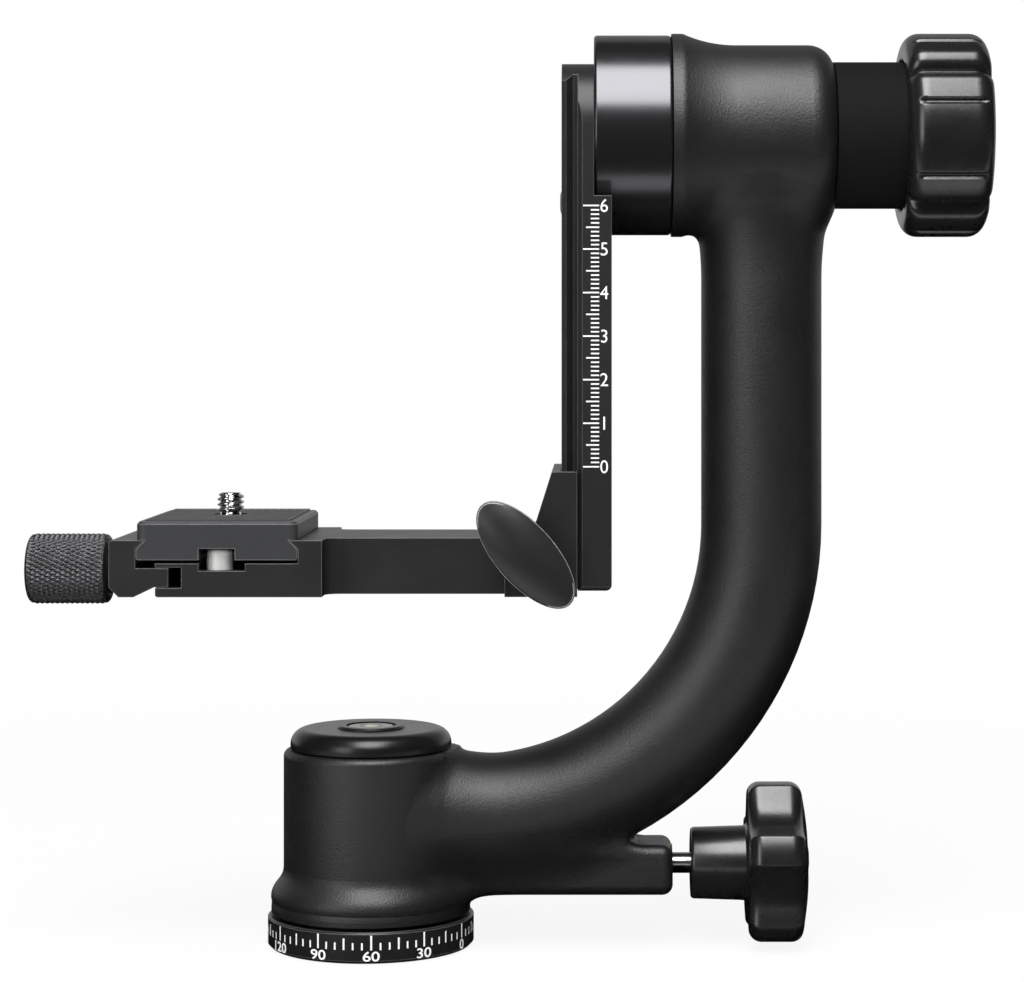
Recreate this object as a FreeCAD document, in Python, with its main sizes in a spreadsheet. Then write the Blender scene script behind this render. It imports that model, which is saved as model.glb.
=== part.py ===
"""Gimbal tripod head: a curved arm that pans on a graduated base and carries a swinging platform.

The frame has its origin at the mouth of the tripod thread, +Z up the pan axis and +X towards the
curved arm. The tilt axis runs along X at the top of the arm. All sizes are in millimetres.
"""
import FreeCAD, Part
import math
import os
import re

import Sketcher

Vector = FreeCAD.Vector
Rotation = FreeCAD.Rotation
Placement = FreeCAD.Placement

# Driving dimensions: name, value, meaning
SIZES = [
    ("running_gap", 0.05, "radial play of a shaft in its bush"),
    ("face_gap", 0.05, "play between flat faces that turn on each other"),
    ("slide_gap", 0.15, "play of the two dovetails"),
    ("edge", 0.4, "chamfer on machined edges"),

    ("ring_radius", 24.4, "radius of the graduated disc"),
    ("ring_height", 7.2, "height of the graduated disc"),
    ("ring_chamfer", 0.7, "chamfer under the graduated rim"),
    ("relief_inner", 17.5, "inner radius of the groove under the disc"),
    ("relief_outer", 21.0, "outer radius of the groove under the disc"),
    ("relief_depth", 0.8, "depth of that groove"),
    ("thread_radius", 3.97, "wall radius of the 3/8 inch tripod thread"),
    ("thread_depth", 12.6, "depth of the tripod thread"),
    ("bushing_radius", 7.0, "outer radius of the threaded bushing"),
    ("flange_radius", 16.0, "radius of the spindle's foot"),
    ("flange_height", 3.0, "height of the spindle's foot"),
    ("flange_play", 0.4, "room round the spindle's foot"),
    ("spindle_radius", 10.0, "radius of the pan spindle"),
    ("spindle_top", 40.0, "height of the pan spindle's end"),
    ("foot_screw_circle", 12.0, "radius of the circle of the spindle's screws"),
    ("foot_screw_shank", 2.0, "shank radius of the spindle's screws"),
    ("foot_screw_head", 3.75, "head radius of the spindle's screws"),
    ("washer_thickness", 0.8, "thickness of the thrust washer"),
    ("washer_radius", 21.5, "radius of the thrust washer"),
    ("retainer_radius", 14.5, "radius of the retaining washer"),
    ("retainer_thickness", 2.5, "thickness of the retaining washer"),
    ("retainer_screw", 3.0, "shank radius of the retaining screw"),
    ("retainer_screw_depth", 11.5, "length of that screw in the spindle"),
    ("retainer_head", 5.2, "head radius of the retaining screw"),
    ("retainer_head_height", 2.6, "head height of the retaining screw"),

    ("housing_radius", 20.7, "radius of the base housing"),
    ("housing_top", 46.2, "height of the housing's rim"),
    ("flare_radius", 23.6, "radius of the housing's foot"),
    ("flare_low", 10.2, "height at which the foot starts to draw in"),
    ("flare_high", 17.0, "height at which the foot has drawn in"),
    ("flare_round", 5.0, "rounding of the foot's two bends"),
    ("rim_round", 1.5, "rounding of the housing's rim"),
    ("bush_wall", 3.0, "wall of the pan bushes"),
    ("bush_length", 5.0, "length of the pan bushes"),
    ("well_radius", 18.3, "radius of the well under the cap"),

    ("arm_radius", 14.3, "radius of the curved arm"),
    ("arm_level", 30.2, "height of the arm's lower run"),
    ("arm_reach", 92.85, "distance of the arm's upright run from the pan axis"),
    ("arm_bend", 69.4, "bend radius of the arm"),
    ("root_start", 9.0, "start of the arm's swollen root, from the pan axis"),
    ("root_end", 25.5, "end of that root, from the pan axis"),
    ("root_radius", 18.6, "radius of that root at its start"),
    ("neck_low", 24.9, "lower end of the arm's swollen neck, under the tilt axis"),
    ("neck_high", 11.3, "upper end of that neck, under the tilt axis"),
    ("neck_radius", 17.7, "radius of that neck at its upper end"),
    ("tilt_height", 191.9, "height of the tilt axis"),
    ("hub_left", 71.4, "near face of the tilt hub"),
    ("hub_right", 109.8, "far face of the tilt hub"),
    ("hub_radius", 21.4, "radius of the tilt hub"),
    ("hub_rim_radius", 24.1, "radius of the hub's rim"),
    ("hub_rim_width", 2.6, "width of the hub's rim"),
    ("hub_neck", 5.7, "width over which the rim draws in"),
    ("hub_neck_round", 6.0, "rounding of the rim's two bends"),
    ("hub_round", 6.0, "rounding of the hub's far edge"),
    ("hub_bore", 12.5, "bore of the tilt hub"),

    ("lock_height", 18.9, "height of the pan lock's axis"),
    ("boss_end", 71.6, "end of the lock boss"),
    ("boss_height", 11.8, "height of the lock boss"),
    ("boss_drop", 0.5, "distance of the boss's middle under the lock's axis"),
    ("boss_width", 18.0, "width of the lock boss"),
    ("boss_round", 2.5, "rounding of the lock boss"),
    ("lock_bore", 3.3, "bore for the brake pad"),
    ("insert_radius", 4.5, "radius of the threaded insert"),
    ("insert_length", 14.0, "length of the threaded insert"),
    ("brake_gap", 0.15, "gap between brake pads and what they press on"),
    ("brake_length", 6.0, "length of the pan brake pad"),
    ("lock_shaft", 2.45, "radius of the lock's shaft"),

    ("cap_radius", 19.1, "radius of the base cap"),
    ("cap_height", 4.9, "height of the cap over the rim"),
    ("cap_round", 3.6, "rounding of the cap"),
    ("cap_undercut", 0.5, "chamfer under the cap's rim"),
    ("cap_spigot", 2.0, "depth of the cap's spigot"),
    ("cap_cavity", 6.6, "radius of the room for the retaining screw's head"),
    ("cap_floor", 1.2, "floor between the level and that room"),
    ("bezel_radius", 8.0, "radius of the level's bezel"),
    ("bezel_height", 4.4, "height of the level's bezel"),
    ("vial_radius", 5.9, "radius of the level's vial"),

    ("lock_knob_start", 76.0, "near end of the lock knob"),
    ("lock_knob_hub", 8.8, "radius of the lock knob's hub"),
    ("lock_knob_hub_length", 13.4, "length of the lock knob's hub"),
    ("lock_knob_radius", 19.1, "radius over the lock knob's lobes"),
    ("lock_knob_width", 13.0, "width of the lock knob's rim"),
    ("lock_knob_crown", 1.6, "height of the lock knob's domed end"),
    ("lock_knob_round", 2.0, "rounding of the lock knob's rim"),
    ("lock_valley_radius", 11.5, "radius of the valleys between the lobes"),
    ("lock_valley_circle", 26.2, "distance of the valleys' centres from the axis"),
    ("lock_knob_turn", 136.7, "angle of the first valley"),

    ("drum_radius", 23.7, "radius of the tilt drum"),
    ("drum_gap", 0.1, "gap between the drum and the hub"),
    ("axle_radius", 9.0, "radius of the tilt axle"),
    ("axle_flange_radius", 14.0, "radius of the axle's flange"),
    ("axle_flange_width", 5.0, "width of the axle's flange"),
    ("axle_thread_radius", 7.0, "radius of the axle's threaded end"),
    ("axle_end", 119.5, "end of the tilt axle"),
    ("tilt_bush_length", 11.8, "length of the tilt bushes"),
    ("friction_inner", 15.5, "inner radius of the friction washer"),
    ("friction_outer", 22.0, "outer radius of the friction washer"),
    ("friction_thickness", 0.75, "thickness of the friction washer"),
    ("drum_screw_circle", 9.5, "radius of the circle of the drum's screws"),
    ("drum_screw_shank", 2.0, "shank radius of the drum's and rail's screws"),
    ("drum_screw_head", 3.5, "head radius of the drum's and rail's screws"),
    ("drum_screw_head_height", 4.0, "head height of the drum's and rail's screws"),
    ("head_play", 0.2, "room round a sunk screw head"),
    ("axle_washer_radius", 13.0, "radius of the washer under the axle's nut"),
    ("axle_washer_thickness", 2.0, "thickness of that washer"),
    ("axle_nut_width", 19.0, "width of the axle's nut across its flats"),
    ("axle_nut_height", 6.5, "height of the axle's nut"),

    ("collar_radius", 17.4, "radius of the tilt collar"),
    ("collar_inner", 13.5, "inner radius of the tilt collar"),
    ("collar_length", 19.2, "length of the tilt collar"),
    ("collar_end_wall", 4.5, "end wall of the tilt collar"),
    ("collar_screw_circle", 15.3, "radius of the circle of the collar's screws"),
    ("collar_screw_shank", 1.25, "shank radius of the collar's screws"),
    ("collar_screw_head", 1.95, "head radius of the collar's screws"),
    ("collar_screw_head_height", 2.2, "head height of the collar's screws"),
    ("collar_screw_grip", 5.0, "length of those screws in the hub"),
    ("tilt_screw_radius", 5.0, "radius of the tilt knob's stud"),
    ("tilt_pad_radius", 6.0, "radius of the tilt brake pad"),
    ("tilt_pad_thickness", 2.2, "thickness of the tilt brake pad"),

    ("tilt_knob_start", 126.0, "near face of the tilt knob"),
    ("tilt_knob_width", 19.7, "width of the tilt knob"),
    ("tilt_knob_radius", 25.3, "radius of the tilt knob"),
    ("tilt_knob_round", 3.0, "rounding of the tilt knob's edges"),
    ("tilt_knob_recess", 18.0, "radius of the recess that takes the collar"),
    ("tilt_knob_recess_depth", 5.5, "depth of that recess"),
    ("tilt_knob_wall", 4.7, "wall at the end of the stud's hole"),
    ("tilt_knob_flat", 1.6, "depth of the flatter faces between the creases"),
    ("tilt_knob_flat_radius", 56.6, "radius of those faces"),
    ("crease_radius", 2.7, "radius of the four creases of the tilt knob"),
    ("crease_depth", 2.5, "depth of the creases"),
    ("groove_radius", 0.7, "radius of the eight fine grooves"),
    ("groove_depth", 0.6, "depth of the fine grooves"),
    ("groove_angle", 21.5, "angle of a fine groove from the lobe's middle"),

    ("rail_left", 45.5, "dovetail face of the rail"),
    ("rail_thickness", 11.6, "thickness of the rail over its flanges"),
    ("rail_web", 7.5, "thickness of the rail's web"),
    ("rail_half", 23.0, "half width of the rail"),
    ("rail_channel", 18.2, "half width between the rail's flanges"),
    ("rail_bottom", 85.4, "lower end of the rail"),
    ("rail_top", 16.1, "height of the rail's upper end over the tilt axis"),
    ("rail_flange_top", 15.6, "distance of the flanges' upper end under the tilt axis"),
    ("rail_top_round", 15.0, "rounding of the rail's upper corners"),
    ("rail_foot_round", 1.5, "rounding of the rail's lower corners"),
    ("rail_lip", 19.0, "half width over the rail's dovetail lips"),
    ("rail_lip_thickness", 1.1, "thickness of those lips"),
    ("rail_flank", 1.6, "depth of the dovetail's flank"),
    ("rail_shoulder", 3.8, "distance of the rail's shoulder from its dovetail face"),
    ("rail_screw_across", 11.0, "distance of the rail's screws from the middle"),
    ("rail_screw_up", 10.0, "height of the rail's screws from the tilt axis"),
    ("rail_screw_length", 12.0, "length under the head of the rail's screws"),
    ("travel", 60.0, "travel of the platform on the rail"),
    ("stop_screw_shank", 1.5, "shank radius of the stop screws"),
    ("stop_screw_head", 2.75, "head radius of the stop screws"),
    ("stop_screw_head_height", 1.6, "head height of the stop screws"),
    ("stop_screw_length", 5.0, "length under the head of the stop screws"),
    ("stop_low", 89.0, "height of the lower stop screw"),
    ("stop_play", 0.3, "play between the platform and the stop screws"),

    ("bar_bottom", 84.2, "underside of the platform"),
    ("bar_height", 13.0, "height of the platform's bar"),
    ("bar_half", 16.0, "half width of the platform's bar"),
    ("bar_round", 3.5, "fillet of the bar into the clamp"),
    ("clamp_half", 25.0, "half length of the quick release clamp"),
    ("clamp_right", -9.3, "closed end of the clamp"),
    ("clamp_left", -47.5, "open end of the clamp"),
    ("clamp_floor_depth", 5.3, "depth of the clamp's floor under its jaws"),
    ("slot_roof", 0.9, "roof over the tongue's slot"),
    ("slot_floor", 2.1, "floor under the tongue's slot"),
    ("slot_depth", 6.0, "depth of the tongue's slot"),
    ("upright_foot", 38.35, "near side of the upright where it leaves the bar"),
    ("upright_neck", 43.3, "near side of the upright at its top"),
    ("upright_top", 112.9, "top of the upright"),
    ("upright_half", 24.5, "half width of the upright over its jaws"),
    ("upright_round", 4.0, "fillet of the upright into the bar"),
    ("nose_end", 0.15, "gap between the jaws and the rail's shoulders"),
    ("jaw_split", 0.4, "gap between the bar and the rail jaw"),
    ("jaw_back", 32.5, "near side of the rail jaw"),
    ("paddle_across", 37.5, "place of the paddle's axis along the bar"),
    ("paddle_height", 94.3, "height of the paddle's axis"),
    ("paddle_screw", 3.0, "radius of the paddle's stud"),
    ("paddle_hub", 5.5, "radius of the paddle's hub"),
    ("paddle_hub_length", 4.5, "length of the paddle's hub"),
    ("paddle_grip", 12.0, "length of the paddle's stud in the bar"),
    ("paddle_major", 15.1, "half length of the paddle"),
    ("paddle_minor", 6.75, "half width of the paddle"),
    ("paddle_thickness", 4.5, "thickness of the paddle"),
    ("paddle_tilt", 48.5, "lean of the paddle from level"),
    ("guide_radius", 1.5, "radius of the guide pins"),
    ("guide_height", 88.0, "height of the guide pins"),
    ("guide_left", 35.2, "place of the first guide pin along the bar"),
    ("guide_right", 42.3, "place of the second guide pin along the bar"),
    ("guide_start", 6.0, "inner end of the guide pins"),
    ("guide_end", 23.5, "outer end of the guide pins"),

    ("plate_middle", -33.4, "middle of the quick release plate"),
    ("plate_width", 37.0, "width of the quick release plate"),
    ("plate_lift", 0.1, "gap between the plate's shoulders and the jaws"),
    ("plate_flank", 2.1, "depth of the plate's dovetail"),
    ("plate_lip_bottom", 4.5, "depth of the plate's lips under the jaws' top"),
    ("plate_height", 4.2, "height of the plate over its shoulders"),
    ("plate_half", 25.0, "half length of the plate"),
    ("plate_round", 2.0, "rounding of the plate's corners"),
    ("plate_slot_half", 4.15, "half width of the slot under the plate"),
    ("plate_slot_depth", 2.6, "depth of that slot"),
    ("plate_slot_end", 12.0, "closed end of that slot"),
    ("pad_inset", 2.0, "inset of the rubber pad"),
    ("pad_depth", 0.8, "depth of the recess for the rubber pad"),
    ("pad_thickness", 1.2, "thickness of the rubber pad"),
    ("screw_radius", 3.175, "radius of the 1/4 inch camera thread"),
    ("screw_length", 4.2, "length of that thread over the pad"),
    ("screw_neck", 2.5, "radius of the camera screw's neck"),
    ("screw_head", 4.0, "head radius of the camera screw"),
    ("screw_head_height", 2.2, "head height of the camera screw"),
    ("screw_start", 0.5, "length of bare neck over the pad"),

    ("clamp_axis", 88.9, "height of the clamp screw"),
    ("clamp_screw", 2.5, "radius of the clamp screw"),
    ("clamp_screw_start", -75.0, "end of the clamp screw in the knob"),
    ("clamp_screw_end", -25.0, "end of the clamp screw in the clamp"),
    ("jaw_width", 6.05, "width of the moving jaw's block"),
    ("tongue_length", 7.55, "length of the jaw's tongue"),
    ("tongue_top", 6.4, "depth of the tongue's top under the jaws' top"),
    ("tongue_bottom", 10.7, "depth of the tongue's underside"),
    ("tongue_gap", 4.0, "half width of the gap for the screw"),
    ("jaw_bevel", 2.2, "bevel under the moving jaw"),
    ("clamp_knob_radius", 8.4, "radius of the knurled knob"),
    ("clamp_knob_left", -81.2, "outer end of the knurled knob"),
    ("clamp_knob_right", -61.9, "inner end of the knurled knob"),
    ("clamp_knob_chamfer", 1.3, "chamfer of the knurled knob"),
    ("clamp_knob_neck", 5.6, "radius of the knurled knob's neck"),

    ("pin_radius", 3.05, "radius of the safety pin"),
    ("pin_place", 19.0, "distance of the safety pin from the plate's middle"),
    ("pin_proud", 3.0, "height of the safety pin over the clamp's floor"),
    ("pin_length", 7.0, "length of the safety pin"),
    ("pin_foot_radius", 3.6, "radius of the safety pin's foot"),
    ("pin_foot_height", 0.8, "height of the safety pin's foot"),
    ("pin_plug_height", 1.2, "height of the plug under the pin's spring"),
    ("pin_bore", 2.1, "radius of the bore for the spring in the pin"),
    ("pin_bore_depth", 5.0, "depth of that bore"),
    ("pin_relief_depth", 1.7, "depth of the relief round the safety pin"),
    ("pin_relief_left", 4.2, "reach of that relief towards the open end"),
    ("pin_relief_right", 6.5, "reach of that relief towards the closed end"),
    ("pin_relief_back", 5.0, "reach of that relief behind the pin"),
    ("spring_wire", 0.25, "wire radius of the safety pin's spring"),
    ("spring_radius", 1.7, "mean radius of that spring"),
    ("spring_turns", 5.0, "turns of that spring"),
]

doc = FreeCAD.newDocument("GimbalHead")
dims = doc.addObject("Spreadsheet::Sheet", "dims")
for row, (alias, value, meaning) in enumerate(SIZES, start=1):
    dims.set(f"A{row}", meaning)
    dims.set(f"B{row}", str(value))
    dims.setAlias(f"B{row}", alias)
doc.recompute()

ALIASES = {alias for alias, value, meaning in SIZES}
PIECES = {}


def size(alias):
    """A driving dimension as a number."""
    return float(dims.get(alias))


def sheet(text):
    """An expression on the sheet, from words such as "ring_radius - edge"."""
    return re.sub(r"[a-z][a-z_]+", lambda m: "dims." + m.group() if m.group() in ALIASES else m.group(), text)


# Steps that the bodies share

def new_body(label):
    body = doc.addObject("PartDesign::Body", label)
    body.Label = label
    PIECES[label] = body
    return body


def origin_feature(body, role):
    return next(feature for feature in body.Origin.OriginFeatures if feature.Role == role)


def new_sketch(body, name, plane, offset="0"):
    """An empty sketch on one of the body's own planes, moved along that plane's normal."""
    sketch = body.newObject("Sketcher::SketchObject", name)
    sketch.AttachmentSupport = [(origin_feature(body, plane), "")]
    sketch.MapMode = "FlatFace"
    sketch.setExpression("AttachmentOffset.Base.z", sheet(offset))
    return sketch


def outline(body, name, plane, points, offset="0"):
    """A closed outline of straight sides, with each corner placed by two sheet expressions."""
    sketch = new_sketch(body, name, plane, offset)
    count = len(points)
    turn = 2 * math.pi / count
    start = [Vector(math.cos(i * turn), math.sin(i * turn), 0) for i in range(count)]
    sketch.addGeometry([Part.LineSegment(start[i], start[(i + 1) % count]) for i in range(count)])
    sketch.addConstraint([Sketcher.Constraint("Coincident", i, 2, (i + 1) % count, 1) for i in range(count)])
    for i, (across, up) in enumerate(points):
        for kind, text, value in (("DistanceX", across, start[i].x), ("DistanceY", up, start[i].y)):
            index = sketch.addConstraint(Sketcher.Constraint(kind, -1, 1, i, 1, value))
            sketch.setExpression(f"Constraints[{index}]", sheet(text))
    return sketch


def circles(body, name, plane, rounds, offset="0"):
    """Circles, each placed by its centre's two expressions and sized by a third."""
    sketch = new_sketch(body, name, plane, offset)
    for i, (across, up, radius) in enumerate(rounds):
        sketch.addGeometry(Part.Circle(Vector(i, 0, 0), Vector(0, 0, 1), 1))
        for kind, text, value in (("DistanceX", across, i), ("DistanceY", up, 0)):
            index = sketch.addConstraint(Sketcher.Constraint(kind, -1, 1, i, 3, value))
            sketch.setExpression(f"Constraints[{index}]", sheet(text))
        index = sketch.addConstraint(Sketcher.Constraint("Radius", i, 1))
        sketch.setExpression(f"Constraints[{index}]", sheet(radius))
    return sketch


def extrude(body, kind, name, sketch, length, symmetric=False):
    """A Pad along the sketch's normal, or a Pocket against it."""
    feature = body.newObject("PartDesign::" + kind, name)
    feature.Profile = sketch
    feature.setExpression("Length", sheet(length))
    if symmetric:
        feature.SideType = "Symmetric"
    doc.recompute()
    return feature


def spin(body, kind, name, sketch, axis):
    """A full Revolution or Groove about one of the sketch's own axes."""
    feature = body.newObject("PartDesign::" + kind, name)
    feature.Profile = sketch
    feature.ReferenceAxis = (sketch, [axis])
    feature.Angle = 360
    doc.recompute()
    return feature


def spin_about(body, kind, name, sketch, side):
    """A full Revolution or Groove about one straight side of the sketch."""
    line = body.newObject("PartDesign::Line", name + "_axis")
    line.AttachmentSupport = [(sketch, side)]
    line.MapMode = "TwoPointLine"
    feature = body.newObject("PartDesign::" + kind, name)
    feature.Profile = sketch
    feature.ReferenceAxis = (line, [""])
    feature.Angle = 360
    doc.recompute()
    return feature


def repeat(body, name, originals, axis, count):
    """Copies of some features round one of the body's own axes."""
    pattern = body.newObject("PartDesign::PolarPattern", name)
    pattern.Originals = originals
    pattern.Axis = (origin_feature(body, axis), [""])
    pattern.Angle = 360
    pattern.Occurrences = count
    body.Tip = pattern
    doc.recompute()
    return pattern


def ease(body, kind, name, amount, wanted):
    """A Fillet or Chamfer on the edges of the body's last feature that wanted picks."""
    base = body.Tip
    names = [f"Edge{i}" for i, edge in enumerate(base.Shape.Edges, start=1) if wanted(edge)]
    feature = body.newObject("PartDesign::" + kind, name)
    feature.Base = (base, names)
    feature.setExpression("Radius" if kind == "Fillet" else "Size", sheet(amount))
    doc.recompute()
    return feature


def near(a, b):
    return abs(a - b) < 1e-4


def ends(edge):
    """The two ends of an edge."""
    return edge.Vertexes[0].Point, edge.Vertexes[-1].Point


def curve(edge):
    """The edge's curve, or None where it is of a kind without a class."""
    try:
        return edge.Curve
    except TypeError:
        return None


def along(edge, axis, **places):
    """True for a straight edge along an axis that lies at the given places, such as x=3."""
    first, last = ends(edge)
    if not isinstance(curve(edge), Part.Line):
        return False
    if abs(getattr(last - first, axis)) < 0.999 * (last - first).Length:
        return False
    return all(near(getattr(first, key), value) for key, value in places.items())


def round_edge(edge, centre_axis, radius, place):
    """True for a full circle round the sketch's X or Z axis at a place along it."""
    circle = curve(edge)
    if not isinstance(circle, Part.Circle):
        return False
    return near(circle.Radius, radius) and near(getattr(circle.Center, centre_axis), place)


def turned(label, points, height="0", upright=False):
    """A turned piece. Its outline gives (along the axis, radius), or (radius, height) if upright."""
    body = new_body(label)
    sketch = outline(body, label + "_profile", "XZ_Plane", points)
    spin(body, "Revolution", label + "_turned", sketch, "V_Axis" if upright else "H_Axis")
    if not upright:
        body.setExpression("Placement.Base.z", sheet(height))
    return body


def ring(inner, outer, low, high):
    """The four corners of a plain ring's outline, as (radius, height)."""
    return [(inner, low), (outer, low), (outer, high), (inner, high)]


def sleeve(left, right, inner, outer):
    """The four corners of a plain sleeve's outline, as (along the axis, radius)."""
    return [(left, inner), (right, inner), (right, outer), (left, outer)]


def group(label, shapes):
    """Identical fasteners in one node, each its own solid."""
    piece = doc.addObject("Part::Feature", label)
    piece.Label = label
    piece.Shape = Part.makeCompound(shapes) if len(shapes) > 1 else shapes[0]
    PIECES[label] = piece
    return piece


def hexagon(width, height, low):
    """An upright hexagonal prism, given its width across the flats."""
    corner = width / math.sqrt(3)
    turn = math.pi / 3
    points = [Vector(corner * math.cos(i * turn), corner * math.sin(i * turn), low) for i in range(7)]
    return Part.Face(Part.makePolygon(points)).extrude(Vector(0, 0, height))


SOCKET_SHARE = 0.85
SOCKET_DEPTH_SHARE = 0.55


def cap_screw(shank, length, head, head_height):
    """A socket head screw: its head stands on the origin, its shank hangs along -Z."""
    body = Part.makeCylinder(head, head_height).fuse(Part.makeCylinder(shank, length, Vector(0, 0, -length)))
    depth = SOCKET_DEPTH_SHARE * head_height
    return body.cut(hexagon(SOCKET_SHARE * head, depth, head_height - depth)).removeSplitter()


def countersunk_screw(shank, length, head):
    """A countersunk screw: its flat face lies on the origin, its shank stands along +Z."""
    depth = head - shank
    body = Part.makeCone(head, shank, depth).fuse(Part.makeCylinder(shank, length - depth, Vector(0, 0, depth)))
    return body.cut(hexagon(SOCKET_SHARE * shank * 1.5, SOCKET_DEPTH_SHARE * depth, 0)).removeSplitter()


def placed(shape, position, axis=Vector(0, 0, 1)):
    """A copy of a shape with its own Z axis along the given axis."""
    copy = shape.copy()
    copy.Placement = Placement(position, Rotation(Vector(0, 0, 1), axis))
    return copy


def round_places(count, radius, first=90.0):
    """Points evenly round a circle, as (y, z) pairs."""
    angles = [math.radians(first + 360 * i / count) for i in range(count)]
    return [(radius * math.cos(a), radius * math.sin(a)) for a in angles]


# Heights and places that several pieces share
CASTING_BOTTOM = "(ring_height + washer_thickness + face_gap)"
FOOT_TOP = "(ring_height + flange_height + flange_play)"
WELL_FLOOR = "(spindle_top - face_gap)"
BUSH_OUTER = "(spindle_radius + bush_wall)"
DRUM_LEFT = "(rail_left + rail_web)"
DRUM_RIGHT = "(hub_left - drum_gap)"
RAIL_SEAT = "(rail_left + drum_screw_head_height + head_play)"
RAIL_TOP = "(tilt_height + rail_top)"
FLANGE_TOP = "(tilt_height - rail_flange_top)"
JAW_TOP = "(bar_bottom + bar_height)"
CLAMP_FLOOR = "(bar_bottom + bar_height - clamp_floor_depth)"
PLATE_SHOULDER = "(bar_bottom + bar_height + plate_lift)"
PLATE_TOP = "(bar_bottom + bar_height + plate_lift + plate_height)"
PLATE_LEFT = "(plate_middle - plate_width / 2)"
PLATE_RIGHT = "(plate_middle + plate_width / 2)"
COLLAR_END = "(hub_right + collar_length)"
PAD_START = "(axle_end + brake_gap)"
PAD_END = "(axle_end + brake_gap + tilt_pad_thickness)"
SLANT = "1.41421356"
THREE_ROUND = (90, 210, 330)


# Fixed base

def graduated_base():
    """Turned disc whose rim carries the degree scale, with three countersunk holes."""
    body = turned("graduated_base", [
        ("bushing_radius", "0"),
        ("relief_inner", "0"),
        ("relief_inner", "relief_depth"),
        ("relief_outer", "relief_depth"),
        ("relief_outer", "0"),
        ("ring_radius - ring_chamfer", "0"),
        ("ring_radius", "ring_chamfer"),
        ("ring_radius", "ring_height - edge"),
        ("ring_radius - edge", "ring_height"),
        ("bushing_radius", "ring_height"),
    ], upright=True)
    hole = circles(body, "base_hole", "XY_Plane", [("0", "foot_screw_circle", "foot_screw_shank + head_play")],
                   "ring_height")
    drilled = extrude(body, "Pocket", "base_hole_cut", hole, "ring_height")
    sink = outline(body, "base_sink", "YZ_Plane", [
        ("foot_screw_circle", "0"),
        ("foot_screw_circle + foot_screw_head + edge / 4", "0"),
        ("foot_screw_circle + foot_screw_shank", "foot_screw_head - foot_screw_shank + edge / 4"),
        ("foot_screw_circle", "foot_screw_head - foot_screw_shank + edge / 4"),
    ])
    sunk = spin_about(body, "Groove", "base_sink_cut", sink, "Edge4")
    repeat(body, "base_holes", [drilled, sunk], "Z_Axis", 3)


def spindle():
    """Upright spindle with its foot, the threaded bushing under it and the washer that holds the arm down."""
    turned("thread_bushing", ring("thread_radius", "bushing_radius", "0", "thread_depth"), upright=True)
    body = turned("pan_spindle", [
        ("bushing_radius", "ring_height"),
        ("flange_radius", "ring_height"),
        ("flange_radius", "ring_height + flange_height"),
        ("spindle_radius", "ring_height + flange_height"),
        ("spindle_radius", "spindle_top"),
        ("retainer_screw", "spindle_top"),
        ("retainer_screw", "spindle_top - retainer_screw_depth"),
        ("0", "spindle_top - retainer_screw_depth"),
        ("0", "thread_depth"),
        ("bushing_radius", "thread_depth"),
    ], upright=True)
    hole = circles(body, "foot_hole", "XY_Plane", [("0", "foot_screw_circle", "foot_screw_shank")],
                   "ring_height + flange_height")
    tapped = extrude(body, "Pocket", "foot_hole_cut", hole, "flange_height")
    repeat(body, "foot_holes", [tapped], "Z_Axis", 3)
    turned("thrust_washer", ring("flange_radius + 2 * flange_play", "washer_radius",
                                 "ring_height", "ring_height + washer_thickness"), upright=True)
    turned("retaining_washer", ring("retainer_screw", "retainer_radius",
                                    "spindle_top", "spindle_top + retainer_thickness"), upright=True)


def spindle_fasteners():
    """Three countersunk screws from below and the screw on top of the spindle."""
    sunk_by = size("edge") / 4
    length = size("ring_height") + size("flange_height") - 2 * sunk_by
    screw = countersunk_screw(size("foot_screw_shank"), length, size("foot_screw_head"))
    group("spindle_screws", [placed(screw, Vector(x, y, sunk_by))
                             for x, y in round_places(3, size("foot_screw_circle"))])
    top = size("spindle_top") + size("retainer_thickness")
    length = size("retainer_thickness") + size("retainer_screw_depth")
    screw = cap_screw(size("retainer_screw"), length, size("retainer_head"), size("retainer_head_height"))
    group("retaining_screw", [placed(screw, Vector(0, 0, top))])


# Curved arm

def arm_casting():
    """Curved tube, base housing with the lock boss, and tilt hub, cast in one and then bored."""
    body = new_body("arm_casting")
    body.AllowCompound = True
    curved_tube(body)
    base_housing(body)
    tilt_hub(body)
    casting_bores(body)


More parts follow.
